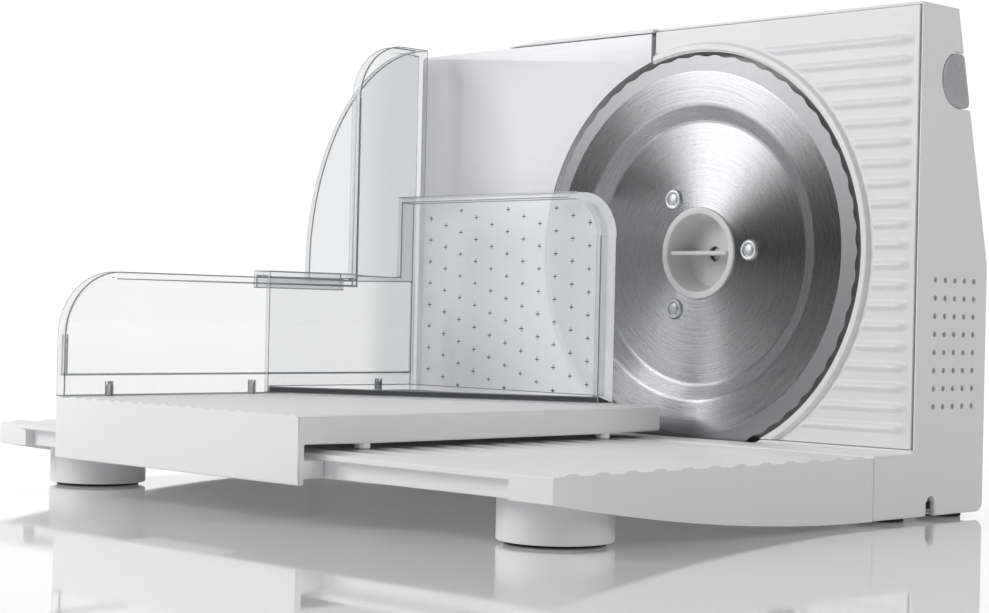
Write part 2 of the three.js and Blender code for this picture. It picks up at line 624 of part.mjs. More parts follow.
function rearCover() {
  const top = innerTopZ - SEAT;
  const span = [TOWER_LEFT + WALL + SEAT, innerRight - SEAT];
  const skinOutline = outline([
    [BODY_DEPTH - WALL, COVER_FOOT_Z], [BODY_DEPTH, COVER_FOOT_Z], [BODY_DEPTH, KNEE_Z], [backY(top), top],
    [backY(top) - WALL, top], [BODY_DEPTH - WALL, KNEE_Z],
  ]);
  const skin = alongX(skinOutline, span);
  const behind = alongX(outline([
    [BODY_DEPTH - WALL, 0], [2 * BODY_DEPTH, 0], [2 * BODY_DEPTH, bodyTopZ],
    [backY(bodyTopZ) - WALL, bodyTopZ], [BODY_DEPTH - WALL, KNEE_Z],
  ]), [BULGE_LEFT, BULGE_RIGHT]);
  const bulgeFace = roundedRectangle([BULGE_LEFT, BULGE_RIGHT], [BULGE_BOTTOM_Z, BULGE_TOP_Z], BULGE_CORNER);
  const bulge = alongY(bulgeFace, [0, bulgeRearY]).intersect(behind);
  const bulgeRoom = alongY(roundedRectangle([BULGE_LEFT + WALL, BULGE_RIGHT - WALL],
    [BULGE_BOTTOM_Z + WALL, BULGE_TOP_Z - WALL], BULGE_CORNER - WALL), [0, bulgeRearY - WALL]);
  const pinBossY = [bulgeRearY - PIN_BOSS_L, bulgeRearY - WALL / 2];
  const pinBoss = barY(PIN_BOSS_R, pinBossY, pinionX, pinionZ);
  const pinBore = barY(GEAR_PIN_R + SEAT, [0, bulgeRearY - WALL], pinionX, pinionZ);
  const dialHole = barY(DIAL_SHAFT_R + RUN, [0, 100], DIAL_X, DIAL_Z);
  const buttonRoom = block([innerRight - BUTTON_T - BUTTON_TRAVEL, BODY_RIGHT], [0, 100],
    [buttonZ - BUTTON_R - 1, buttonZ + BUTTON_R + 1]);
  const slots = [];
  for (let slot = 0; slot < SLOT_COUNT; slot += 1) {
    const x = (BULGE_LEFT + BULGE_RIGHT) / 2 + (slot - (SLOT_COUNT - 1) / 2) * SLOT_PITCH;
    slots.push(block([x - SLOT_W / 2, x + SLOT_W / 2], [bulgeRearY - WALL - 1, bulgeRearY + 1],
      [SLOT_Z - SLOT_L / 2, SLOT_Z + SLOT_L / 2]));
  }
  const screwHoles = coverScrewPlaces.map(([x, z]) => barY(SCREW_R + SEAT, [0, 100], x, z, 12));
  const screwSeats = coverScrewPlaces.map(([x, z]) =>
    barY(SCREW_HEAD_R + SEAT, [backY(z) - SCREW_HEAD_T - SEAT, 100], x, z, 12));
  const hollow = cut(join(skin, bulge), bulgeRoom);
  return cut(join(hollow, pinBoss), pinBore, dialHole, buttonRoom, ...slots, ...screwHoles, ...screwSeats);
}

const coverScrewPlaces = [TOWER_LEFT + SCREW_EDGE, innerRight - SCREW_EDGE / 3].flatMap((x) =>
  [COVER_FOOT_Z + SCREW_EDGE / 2, KNEE_Z - SCREW_EDGE / 2].map((z) => [x, z]));

/** A screw on a Y axis whose head sits in the back of the cover. */
function coverScrew([x, z]) {
  const seatY = backY(z) - SCREW_HEAD_T;
  const head = barY(SCREW_HEAD_R, [seatY, backY(z)], x, z, 12);
  const shank = barY(SCREW_R, [seatY - SCREW_L, seatY + 0.5], x, z, 10);
  return join(head, shank);
}

function bottomPlate() {
  const zone = [BODY_BOTTOM_Z + SEAT, BODY_BOTTOM_Z + SEAT + BOTTOM_T];
  const plate = block([BASE_LEFT + WALL + SEAT, innerRight - SEAT],
    [WALL - LEDGE_DEPTH + SEAT, BODY_DEPTH - HEEL - WALL], zone);
  const notch = block([innerRight - 2 * NOTCH_W, BODY_RIGHT], [NOTCH_Y - NOTCH_W / 2, NOTCH_Y + NOTCH_W / 2],
    [0, NOTCH_Z]);
  return cut(plate, notch);
}

/** The blade: a dished steel disc whose edge is ground to shallow teeth, with a bevel on the user's side. */
function blade() {
  const bevelR = BLADE_R - BEVEL_W;
  const dishR = bevelR - DISH_W;
  const flatR = dishR - STEP_W;
  const points = 2 * TOOTH_COUNT;
  const share = 2; // edge points to one point of the inner rings
  const rings = [
    [BLADE_BORE_R, FLAT_BACK], [flatR, FLAT_BACK], [dishR, DISH_BACK], [bevelR, -BEVEL_RISE],
    [BLADE_R, 0], [bevelR, BLADE_SHEET - BEVEL_RISE], [dishR, DISH_BACK + BLADE_SHEET],
    [flatR, bladeBackY], [BLADE_BORE_R, bladeBackY],
  ];
  const places = [];
  const starts = [];
  for (const [radius, y] of rings) {
    const edge = radius === BLADE_R;
    const count = edge ? points : points / share;
    starts.push(places.length / 3);
    for (let i = 0; i < count; i += 1) {
      const angle = 2 * Math.PI * i / count;
      const r = edge && i % 2 ? radius - TOOTH_DEPTH : radius;
      places.push(r * Math.cos(angle), y, bladeAxisZ + r * Math.sin(angle));
    }
  }
  const corners = [];
  const coarse = points / share;
  for (let ring = 0; ring < rings.length; ring += 1) {
    const after = (ring + 1) % rings.length;
    const outward = rings[after][0] === BLADE_R;
    const inward = rings[ring][0] === BLADE_R;
    for (let i = 0; i < coarse; i += 1) {
      const j = (i + 1) % coarse;
      if (!outward && !inward) {
        const [a, b, c, d] = [starts[ring] + i, starts[ring] + j, starts[after] + i, starts[after] + j];
        corners.push(a, c, b, b, c, d);
        continue;
      }
      const inner = outward ? starts[ring] : starts[after];
      const outer = outward ? starts[after] : starts[ring];
      const add = (a, b, c) => (outward ? corners.push(a, b, c) : corners.push(a, c, b));
      for (let k = 0; k < share; k += 1) {
        const from = outer + i * share + k;
        const to = outer + (i * share + k + 1) % points;
        add(inner + (k < share / 2 ? i : j), from, to);
      }
      add(inner + i, outer + i * share + share / 2, inner + j);
    }
  }
  const geometry = new THREE.BufferGeometry();
  geometry.setAttribute('position', new THREE.BufferAttribute(new Float32Array(places), 3));
  geometry.setIndex(corners);
  const holes = rivetPlaces.map(([x, z]) => barY(RIVET_R + SEAT, [0, 20], x, z, 12));
  return cut(solid(geometry), ...holes);
}

const rivetPlaces = Array.from({ length: RIVET_COUNT }, (_, i) => {
  const angle = radians(RIVET_START + i * 360 / RIVET_COUNT);
  return [RIVET_CIRCLE_R * Math.cos(angle), bladeAxisZ + RIVET_CIRCLE_R * Math.sin(angle)];
});

/** A rivet with a low dome in front of the blade and a flat head behind the gear flange. */
function rivet([x, z]) {
  const front = FLAT_BACK - SEAT;
  const tail = rimY + SEAT;
  return turned([
    [0, front - RIVET_HEAD_T], [RIVET_HEAD_R * 0.7, front - RIVET_HEAD_T], [RIVET_HEAD_R, front - 0.2],
    [RIVET_HEAD_R, front], [RIVET_R, front], [RIVET_R, tail], [RIVET_TAIL_R, tail],
    [RIVET_TAIL_R, tail + RIVET_TAIL_T], [0, tail + RIVET_TAIL_T],
  ], x, z, 12);
}

function bladeGear() {
  const hubR = BLADE_BORE_R + SEAT;
  const rootR = BLADE_TEETH * GEAR_MODULE / 2 - 1.1 * GEAR_MODULE;
  const rimInner = RIVET_CIRCLE_R + RIVET_TAIL_R + SEAT;
  const flange = cut(barY(rootR - 1.5, [gearFrontY, rimY], 0, bladeAxisZ, ROUND),
    barY(hubR, [0, 50], 0, bladeAxisZ, ROUND));
  const ring = cut(alongY(gearOutline(BLADE_TEETH, radians(PINION_ANGLE) + Math.PI / BLADE_TEETH,
    [0, bladeAxisZ]), [rimY, rimY + GEAR_W]), barY(rimInner, [0, 50], 0, bladeAxisZ, ROUND));
  const hub = turned([
    [SPINDLE_R + RUN, gearFloorY], [hubR, gearFloorY], [hubR, rimY - 1], [hubR + WALL, rimY - 1],
    [hubR + WALL, gearFloorY + WALL], [SPINDLE_R + RUN, gearFloorY + WALL], [SPINDLE_R + RUN, gearFloorY],
  ], 0, bladeAxisZ);
  const holes = rivetPlaces.map(([x, z]) => barY(RIVET_R + SEAT, [0, 30], x, z, 12));
  return cut(join(flange, ring, hub), ...holes);
}

function bladeCap() {
  const innerR = CAP_R - CAP_RIM_W;
  const bodyR = BLADE_BORE_R - RUN;
  const seatY = FLAT_BACK - SEAT;
  const shell = turned([
    [CAP_HOLE_R, capBottomY], [innerR - CAP_TAPER, capBottomY],
    [innerR, capFrontY + 0.4], [innerR + 0.4, capFrontY],
    [CAP_R - 0.4, capFrontY], [CAP_R, capFrontY + 0.4], [CAP_R, seatY], [bodyR, seatY],
    [bodyR - CAP_TAPER, capEndY], [CAP_HOLE_R, capEndY], [CAP_HOLE_R, capBottomY],
  ], 0, bladeAxisZ);
  const bar = block([-innerR - 0.5, innerR + 0.5], [capFrontY + 0.5, capBottomY + 0.5],
    [bladeAxisZ - GRIP_T / 2, bladeAxisZ + GRIP_T / 2]);
  const envelope = turned([
    [0, capFrontY], [CAP_R - 1, capFrontY], [bodyR - CAP_TAPER, capEndY], [0, capEndY],
  ], 0, bladeAxisZ);
  return join(shell, bar.intersect(envelope));
}

function reductionGear() {
  const pinionY = [bulkheadBackY + RUN, rimY + GEAR_W];
  const meshAngle = radians(PINION_ANGLE) + Math.PI;
  const pinion = alongY(gearOutline(PINION_TEETH, meshAngle, [pinionX, pinionZ]), pinionY);
  const neck = barY(PINION_TEETH * GEAR_MODULE / 2 - 2.5, [pinionY[1] - 1, wheelY[0] + 1], pinionX, pinionZ);
  const wheel = alongY(gearOutline(WHEEL_TEETH, 0, [pinionX, pinionZ]), wheelY);
  return cut(join(pinion, neck, wheel), barY(GEAR_PIN_R + RUN, [0, 100], pinionX, pinionZ));
}

/** The stop plate's outline with its round bay for the blade, shrunk by an inset. */
function stopSolid(inset, yRange) {
  const plate = block([STOP_LEFT + inset, stopRight - inset], yRange,
    [stopBottomZ + inset, stopTopZ - inset]);
  return cut(plate, barY(stopR + inset, [-50, 100], 0, bladeAxisZ, FINE_ROUND));
}

function stopCarrier() {
  const front = STOP_SHEET + SEAT;
  const body = cut(stopSolid(0.6, [front, stopBackY]), stopSolid(0.6 + WALL, [front + WALL, stopBackY + 1]));
  const armY = [ARM_Y, ARM_Y + ARM_T];
  const web = block([FOOT_WEB_LEFT, FOOT_WEB_RIGHT], armY, [ARM_Z, stopBottomZ + HEEL_H]);
  const heel = block([FOOT_WEB_LEFT, FOOT_WEB_RIGHT], [front + WALL - 1, armY[1]],
    [stopBottomZ + 1, stopBottomZ + HEEL_H]);
  const arm = block([FOOT_WEB_RIGHT - 1, DIAL_X], armY, [ARM_Z, ARM_Z + ARM_H]);
  const nut = barY(DIAL_NUT_R, [ARM_Y, ARM_Y + DIAL_NUT_L], DIAL_X, DIAL_Z);
  const bores = [
    barY(DIAL_SHAFT_R + RUN, [0, 50], DIAL_X, DIAL_Z),
    barY(ROD_R + RUN, [0, 50], ROD_LEFT_X, ROD_Z), barY(ROD_R + RUN, [0, 50], ROD_RIGHT_X, ROD_Z),
  ];
  return cut(join(body, web, heel, arm, nut), ...bores);
}

function guideRod(x) {
  return barY(ROD_R, [WALL - LEDGE_DEPTH + SEAT, BODY_DEPTH - WALL - SEAT], x, ROD_Z);
}

function dialKnob() {
  const knob = barY(DIAL_R, [dialFrontY, dialEndY], DIAL_X, DIAL_Z, ROUND);
  const scallops = Array.from({ length: DIAL_SCALLOPS }, (_, i) => {
    const angle = 2 * Math.PI * i / DIAL_SCALLOPS;
    const r = DIAL_R + DIAL_SCALLOP_R / 2;
    return barY(DIAL_SCALLOP_R, [dialFrontY + 4, dialEndY + 1], DIAL_X + r * Math.cos(angle),
      DIAL_Z + r * Math.sin(angle), 12);
  });
  const bore = barY(DIAL_SHAFT_R + SEAT, [0, dialEndY - 4], DIAL_X, DIAL_Z);
  return cut(knob, bore, ...scallops);
}

function slideTable() {
  const rear = -LEDGE_DEPTH - SEAT;
  const faceZ = tableFaceZ;
  const roofZ = faceZ - WALL;
  const span = [TABLE_LEFT, BODY_RIGHT];
  const top = block(span, [TABLE_FRONT_Y, rear], [roofZ, faceZ]);
  const front = block(span, [TABLE_FRONT_Y, trackY + WALL], [TABLE_EDGE_Z, faceZ]);
  const back = block(span, [rear - WALL, rear], [BODY_BOTTOM_Z + 3, faceZ]);
  const apronShape = new THREE.Shape();
  apronShape.moveTo(TABLE_FRONT_Y, faceZ);
  apronShape.lineTo(TABLE_FRONT_Y, TABLE_EDGE_Z);
  apronShape.quadraticCurveTo((TABLE_FRONT_Y + rear) / 2, BODY_BOTTOM_Z, rear, BODY_BOTTOM_Z);
  apronShape.lineTo(rear, faceZ);
  const right = alongX(apronShape, [BODY_RIGHT - WALL, BODY_RIGHT]);
  const left = alongX(apronShape, [TABLE_LEFT, TABLE_LEFT + WALL]);
  const ribs = [];
  const ribCount = Math.floor((rear - TABLE_FRONT_Y - 2 * TABLE_RIB_MARGIN) / TABLE_RIB_PITCH) + 1;
  for (let rib = 0; rib < ribCount; rib += 1) {
    const y = TABLE_FRONT_Y + TABLE_RIB_MARGIN + rib * TABLE_RIB_PITCH;
    ribs.push(alongX(ridge(y, faceZ, TABLE_RIB_W, TABLE_RIB_H), span));
  }
  const track = block([TABLE_LEFT + TABLE_END_W, BODY_RIGHT - TABLE_END_W], [TABLE_FRONT_Y - 1, trackY],
    [TABLE_EDGE_Z - 1, trackTopZ]);
  return cut(join(top, front, left, back, right, ...ribs), track);
}

/** The section of a low ridge on a flat face. */
function ridge(middle, faceZ, width, height) {
  return outline([
    [middle - width / 2, faceZ - 1], [middle + width / 2, faceZ - 1], [middle + width / 2, faceZ],
    [middle + width / 4, faceZ + height], [middle - width / 4, faceZ + height], [middle - width / 2, faceZ],
  ]);
}

/** A round table foot, hollow from below, with room for its rubber pad. */
function tableFoot(x) {
  const top = tableFaceZ - WALL - SEAT;
  const outer = barZ(FOOT_R, [FOOT_LIFT, top], x, footY, ROUND);
  const room = barZ(FOOT_R - WALL, [0, PAD_T + SEAT], x, footY, ROUND);
  return cut(outer, room);
}

function footPad(x) {
  return barZ(FOOT_R - WALL - SEAT, [0, PAD_T], x, footY, ROUND);
}

function rubberFoot(x, y) {
  return barZ(RUBBER_R, [0, BODY_BOTTOM_Z], x, y);
}

function carriageDeck() {
  const faceZ = DECK_Z - DECK_RIB_H;
  const edgeZ = DECK_Z - DECK_EDGE_T;
  const span = [DECK_LEFT, DECK_RIGHT];
  const slab = block(span, [deckFrontY, DECK_REAR_Y], [edgeZ, faceZ]);
  const room = block([DECK_LEFT + WALL, DECK_RIGHT - WALL], [deckFrontY + WALL, DECK_REAR_Y - WALL],
    [edgeZ - 1, faceZ - WALL]);
  const skirt = block(span, [deckFrontY, deckFrontY + WALL], [SKIRT_Z, faceZ]);
  const upstandY = [trackY + WALL + RUN, trackY + 2 * WALL + RUN];
  const hookZ = [Math.min(SKIRT_Z, TABLE_EDGE_Z - RUN - HOOK_T), TABLE_EDGE_Z - RUN];
  const hookSpan = [HOOK_LEFT, HOOK_RIGHT];
  const hook = block(hookSpan, [deckFrontY, upstandY[1]], hookZ);
  const upstand = block(hookSpan, upstandY, [hookZ[0], hookZ[1] + HOOK_RISE]);
  const shoe = block(hookSpan, [deckFrontY, trackY - RUN], [hookZ[0], hookZ[1] + HOOK_RISE]);
  const claw = block([DECK_RIGHT - WALL, DECK_RIGHT], [deckFrontY, trackY - RUN],
    [TABLE_EDGE_Z, trackTopZ - RUN]);
  const glides = [DECK_LEFT + GLIDE_R, DECK_RIGHT - GLIDE_R].flatMap((x) =>
    [deckFrontY + GLIDE_INSET, DECK_REAR_Y - GLIDE_INSET].map((y) =>
      barZ(GLIDE_R, [LEDGE_Z + RUN, faceZ - 1], x, y, 12)));
  const ribs = [];
  const ribRoom = DECK_RIGHT - DECK_LEFT - WALL_RIM - 2 * DECK_RIB_MARGIN;
  const ribCount = Math.floor(ribRoom / DECK_RIB_PITCH) + 1;
  for (let rib = 0; rib < ribCount; rib += 1) {
    const x = DECK_RIGHT - DECK_RIB_MARGIN - rib * DECK_RIB_PITCH;
    ribs.push(alongY(ridge(x, faceZ, DECK_RIB_W, DECK_RIB_H), [deckFrontY, DECK_REAR_Y]));
  }
  const screwHoles = wallScrewPlaces.map(([x, y]) => barZ(SCREW_R + SEAT, [0, 100], x, y, 12));
  const screwSeats = wallScrewPlaces.map(([x, y]) =>
    barZ(WALL_SCREW_HEAD_R + SEAT, [edgeZ - 1, edgeZ + WALL_SCREW_POST], x, y, 12));
  const screwPosts = wallScrewPlaces.map(([x, y]) =>
    barZ(SCREW_HEAD_R, [edgeZ + WALL_SCREW_POST, faceZ - 1], x, y, 12).intersect(slab));
  return cut(join(cut(slab, room), skirt, hook, upstand, shoe, claw, ...glides, ...screwPosts, ...ribs),
    ...screwHoles, ...screwSeats);
}

const wallScrewPlaces = [0.12, 0.5, 0.88].map((share) =>
  [DECK_LEFT + WALL_SCREW_INSET, deckFrontY + share * (DECK_REAR_Y - deckFrontY)]);

/** A screw on a Z axis that comes up through the deck into the clear wall. */
function wallScrew([x, y]) {
  const seatZ = DECK_Z - DECK_EDGE_T + WALL_SCREW_POST - SEAT;
  const head = barZ(WALL_SCREW_HEAD_R, [seatZ - SCREW_HEAD_T, seatZ], x, y, 12);
  const shank = barZ(SCREW_R, [seatZ - 0.5, seatZ + SCREW_L + WALL], x, y, 10);
  return join(head, shank);
}

/** Side outline of the clear wall: low wall and tall arch with round front corners, shrunk by an inset. */
function wallOutline(inset, footZ) {
  const shape = new THREE.Shape();
  const front = deckFrontY + inset;
  const arch = ARCH_FRONT_Y + inset;
  const rear = DECK_REAR_Y + 1 - inset;
  const radius = ARCH_R - inset;
  shape.moveTo(rear, footZ);
  shape.lineTo(rear, ARCH_Z - inset);
  shape.lineTo(arch + radius, ARCH_Z - inset);
  shape.absarc(arch + radius, ARCH_Z - inset - radius, radius, Math.PI / 2, Math.PI);
  shape.lineTo(arch, LOW_WALL_Z - inset);
  shape.lineTo(front + radius, LOW_WALL_Z - inset);
  shape.absarc(front + radius, LOW_WALL_Z - inset - radius, radius, Math.PI / 2, Math.PI);
  shape.lineTo(front, footZ);
  return shape;
}

function carriageWall() {
  const footZ = DECK_Z - DECK_RIB_H + SEAT;
  const outerX = DECK_LEFT;
  const innerX = DECK_LEFT + WALL_RIM;
  const plate = alongX(wallOutline(0, footZ), [outerX, innerX]);
  const recess = alongX(wallOutline(CLEAR_WALL, footZ + 9), [outerX - 1, innerX - CLEAR_WALL]);
  const guardShape = new THREE.Shape();
  const rise = ARCH_Z - LOW_WALL_Z - 8;
  guardShape.moveTo(innerX - 1, LOW_WALL_Z);
  guardShape.lineTo(innerX - 1, ARCH_Z);
  guardShape.lineTo(outerX, ARCH_Z);
  guardShape.absellipse(outerX, ARCH_Z - rise, GUARD_REACH, rise, Math.PI / 2, Math.PI);
  guardShape.lineTo(outerX - GUARD_REACH, LOW_WALL_Z);
  const rear = DECK_REAR_Y + 1;
  const guard = alongY(guardShape, [rear - GUARD_T, rear]);
  const screwHoles = wallScrewPlaces.map(([x, y]) =>
    barZ(SCREW_R + SEAT, [0, DECK_Z - DECK_EDGE_T + WALL_SCREW_POST + SCREW_L + WALL + 1], x, y, 12));
  return cut(join(cut(plate, recess), guard), ...screwHoles);
}

function foodHolder() {
  const floorZ = DECK_Z + RUN;
  const wingX = [DECK_LEFT + WALL_RIM + RUN, DECK_LEFT + WALL_RIM + RUN + CLEAR_WALL];
  const left = wingX[0];
  const rearY = HOLDER_FRONT_Y + HOLDER_DEPTH;
  const face = (inset) => {
    const shape = new THREE.Shape();
    const radius = HOLDER_CORNER_R - inset;
    shape.moveTo(left + inset, floorZ + inset);
    shape.lineTo(HOLDER_RIGHT - inset, floorZ + inset);
    shape.lineTo(HOLDER_RIGHT - inset, HOLDER_Z - inset - radius);
    shape.absarc(HOLDER_RIGHT - inset - radius, HOLDER_Z - inset - radius, radius, 0, Math.PI / 2);
    shape.lineTo(left + inset, HOLDER_Z - inset);
    return shape;
  };
  const tray = cut(alongY(face(0), [HOLDER_FRONT_Y, rearY]),
    alongY(face(CLEAR_WALL), [HOLDER_FRONT_Y - 1, rearY - CLEAR_WALL]));
  const wing = block(wingX, [WING_FRONT_Y, HOLDER_FRONT_Y + 1], [floorZ, WING_Z]);
  const floor = alongZ(outline([
    [wingX[1] - 1, WING_FRONT_Y], [HOLDER_RIGHT, HOLDER_FRONT_Y], [HOLDER_RIGHT, HOLDER_FRONT_Y + 1],
    [wingX[1] - 1, HOLDER_FRONT_Y + 1],
  ]), [floorZ, floorZ + CLEAR_WALL]);
  const latchEndY = ARCH_FRONT_Y - 2;
  const latchLeft = DECK_LEFT - RUN - LATCH_T;
  const latchZ = [LOW_WALL_Z + RUN, LOW_WALL_Z + RUN + LATCH_T];
  const latch = block([latchLeft, wingX[1]], [WING_FRONT_Y, latchEndY], latchZ);
  const lip = block([latchLeft, latchLeft + LATCH_T], [WING_FRONT_Y, latchEndY],
    [LOW_WALL_Z - LATCH_LIP, latchZ[1]]);
  const neck = block(wingX, [WING_FRONT_Y, latchEndY], [WING_Z - 1, latchZ[1]]);
  const spikes = [];
  const columns = Math.floor((HOLDER_RIGHT - left - 1.5 * SPIKE_MARGIN_X) / SPIKE_PITCH);
  for (let column = 0; column <= columns; column += 1) {
    const x = left + SPIKE_MARGIN_X + column * SPIKE_PITCH;
    const lowest = floorZ + SPIKE_MARGIN_Z + (2 - column % 3) * SPIKE_PITCH / 3;
    const cornerDrop = Math.max(0, x - HOLDER_RIGHT + HOLDER_CORNER_R);
    for (let z = lowest; z < HOLDER_Z - 1.5 * SPIKE_MARGIN_Z - cornerDrop; z += SPIKE_PITCH) {
      const cone = new THREE.ConeGeometry(SPIKE_R, SPIKE_L + SEAT, 4);
      spikes.push(solid(cone.translate(x, rearY + (SPIKE_L - SEAT) / 2, z)));
    }
  }
  return join(tray, wing, floor, latch, lip, neck, ...spikes);
}

function switchButton() {
  const outer = BODY_RIGHT + BUTTON_PROUD;
  const inner = outer - BUTTON_T;
  const face = alongX(buttonOutline(0, RUN), [inner, outer]);
  const plunger = barX(PLUNGER_R, [inner - PLUNGER_L, inner + 0.5], PLUNGER_Y, buttonZ);
  return join(face, plunger);
}

const plungerEndX = BODY_RIGHT + BUTTON_PROUD - BUTTON_T - PLUNGER_L;
const switchRight = plungerEndX - SPRING_GAP;

function switchBody() {
  const [w, d, h] = SWITCH_SIZE;
  const front = bulkheadBackY + SEAT;
  return block([switchRight - w, switchRight], [front, front + d], [buttonZ - h / 2, buttonZ + h / 2]);
}

/** A coil spring between the switch and the plunger, its ends clear of both. */
function buttonSpring() {
  class Helix extends THREE.Curve {
    getPoint(t) {
      const angle = 2 * Math.PI * SPRING_TURNS * t;
      const length = SPRING_GAP - 2 * (SPRING_WIRE_R + SEAT);
      return new THREE.Vector3(switchRight + SPRING_WIRE_R + SEAT + length * t,
        PLUNGER_Y + SPRING_R * Math.cos(angle), buttonZ + SPRING_R * Math.sin(angle));
    }
  }
  return solid(new THREE.ExtrudeGeometry(roundSection(SPRING_WIRE_R),
    { steps: SPRING_TURNS * 7, extrudePath: new Helix(), bevelEnabled: false }));
}

function stator() {
  const xSpan = [motorX - STATOR_W / 2, motorX + STATOR_W / 2];
  const ySpan = [MOTOR_Y - STATOR_D / 2, MOTOR_Y + STATOR_D / 2];
  const zSpan = [statorZ, statorZ + STATOR_H];
  const core = alongZ(roundedRectangle(xSpan, ySpan, 4), zSpan);
  const bore = barZ(STATOR_BORE_R, [0, 200], motorX, MOTOR_Y, ROUND);
  const windows = [-1, 1].flatMap((sx) => [-1, 1].map((sy) => {
    const xs = rising(motorX + sx * (COIL_IN - SEAT), motorX + sx * (COIL_IN + COIL_T + SEAT));
    const ys = rising(MOTOR_Y + sy * (COIL_HALF - SEAT), MOTOR_Y + sy * (COIL_HALF + COIL_W + SEAT));
    return block(xs, ys, [0, 200]);
  }));
  return cut(core, bore, ...windows);
}

/** A field coil: a flat ring of wire round one pole, on the side given by its sign. */
function fieldCoil(side) {
  const xs = rising(motorX + side * COIL_IN, motorX + side * (COIL_IN + COIL_T));
  const low = statorZ - SEAT;
  const high = statorZ + STATOR_H + SEAT;
  const outer = roundedRectangle([MOTOR_Y - COIL_HALF - COIL_W, MOTOR_Y + COIL_HALF + COIL_W],
    [low - COIL_W, high + COIL_W], COIL_W);
  const inner = block([xs[0] - 1, xs[1] + 1], [MOTOR_Y - COIL_HALF, MOTOR_Y + COIL_HALF], [low, high]);
  return cut(alongX(outer, xs), inner);
}

/** A bearing bracket: a bridge across the motor whose legs stand on the stator. */
function motorBracket(plateZ, legZ) {
  const half = STATOR_W / 2;
  const depth = [MOTOR_Y - BRACKET_D / 2, MOTOR_Y + BRACKET_D / 2];
  const plate = block([motorX - half, motorX + half], depth, [plateZ, plateZ + BRACKET_T]);
  const legs = [-1, 1].map((side) => {
    const xs = rising(motorX + side * (COIL_IN + COIL_T + SEAT), motorX + side * half);
    return block(xs, [MOTOR_Y - 8, MOTOR_Y + 8], legZ);
  });
  return cut(join(plate, ...legs), barZ(BUSH_R + SEAT, [0, 300], motorX, MOTOR_Y));
}

function bush(z) {
  return cut(barZ(BUSH_R, [z, z + BUSH_L], motorX, MOTOR_Y),
    barZ(SHAFT_R + RUN, [0, 300], motorX, MOTOR_Y));
}

/** The armature shaft with a double-start worm rolled into its upper end. */
function wormShaft() {
  const shaft = barZ(SHAFT_R, [bracketLowZ - 1, topBearingZ + TOP_BEARING_H], motorX, MOTOR_Y);
  const core = barZ(WORM_R - 1.2, [pinionZ - WORM_L / 2, pinionZ + WORM_L / 2], motorX, MOTOR_Y);
  const lead = 2 * Math.PI * GEAR_MODULE;
  const turns = (WORM_L - 2) / lead;
  const threads = [0, Math.PI].map((start) => {
    class Thread extends THREE.Curve {
      getPoint(t) {
        const angle = start + 2 * Math.PI * turns * t;
        const z = pinionZ - WORM_L / 2 + 1 + lead * turns * t;
        const r = WORM_R - 1;
        return new THREE.Vector3(motorX + r * Math.cos(angle), MOTOR_Y + r * Math.sin(angle), z);
      }
    }
    return solid(new THREE.ExtrudeGeometry(roundSection(1),
      { steps: Math.round(turns * 8), extrudePath: new Thread(), bevelEnabled: false }));
  });
  return join(shaft, core, ...threads);
}

function armatureCore() {
  const outer = STATOR_BORE_R - AIR_GAP;
  const step = 2 * Math.PI / ARMATURE_SLOTS;
  const corners = [];
  for (let slot = 0; slot < ARMATURE_SLOTS; slot += 1) {
    for (const [radius, turn] of [[outer, -0.4], [outer, -0.13], [outer, 0.13], [outer, 0.4],
      [outer * 0.62, 0.42], [outer * 0.62, 0.58]]) {
      const angle = (slot + turn) * step;
      corners.push([motorX + radius * Math.cos(angle), MOTOR_Y + radius * Math.sin(angle)]);
    }
  }
  return cut(alongZ(outline(corners), [statorZ, statorZ + STATOR_H]),
    barZ(SHAFT_R + SEAT, [0, 300], motorX, MOTOR_Y));
}

function commutator() {
  return cut(barZ(COMMUTATOR_R, [commutatorZ, commutatorZ + COMMUTATOR_L], motorX, MOTOR_Y, 24),
    barZ(SHAFT_R + SEAT, [0, 300], motorX, MOTOR_Y));
}

function coolingFan() {
  const hub = barZ(SHAFT_R + 3, [fanZ, fanZ + FAN_H], motorX, MOTOR_Y);
  const disc = barZ(FAN_R, [fanZ, fanZ + 1.2], motorX, MOTOR_Y, ROUND);
  const blades = Array.from({ length: FAN_BLADES }, (_, i) => {
    const vane = new THREE.BoxGeometry(FAN_R - SHAFT_R - 2.5, 1.2, FAN_H);
    vane.translate((FAN_R + SHAFT_R) / 2 + 0.5, 0, fanZ + FAN_H / 2);
    return solid(vane.rotateZ(2 * Math.PI * i / FAN_BLADES).translate(motorX, MOTOR_Y, 0));
  });
  return cut(join(hub, disc, ...blades), barZ(SHAFT_R + SEAT, [0, 300], motorX, MOTOR_Y));
}

/** The bearing block behind the bulkhead that holds the upper end of the worm shaft. */
function topBearing() {
  const body = block([motorX - 8, motorX + 8], [bulkheadBackY + SEAT, MOTOR_Y + 8],
    [topBearingZ, topBearingZ + TOP_BEARING_H]);
  return cut(body, barZ(SHAFT_R + RUN, [0, 300], motorX, MOTOR_Y));
}

function brushHolder(side) {
  const xs = rising(motorX + side * (COMMUTATOR_R + RUN), motorX + side * (COMMUTATOR_R + RUN + BRUSH_L));
  return block(xs, [MOTOR_Y - BRUSH_W / 2, MOTOR_Y + BRUSH_W / 2],
    [bracketLowZ + BRACKET_T + SEAT, commutatorZ + COMMUTATOR_L - 1]);
}

// Housing and covers
piece('housing_shell', housingShell(), whitePlastic);
piece('front_panel', frontPanel(), whitePlastic);
piece('bulkhead', bulkhead(), whitePlastic);
piece('rear_cover', rearCover(), whitePlastic);
piece('bottom_plate', bottomPlate(), whitePlastic);
coverScrewPlaces.forEach((place, i) => piece(`cover_screw_${i + 1}`, coverScrew(place), plainSteel));

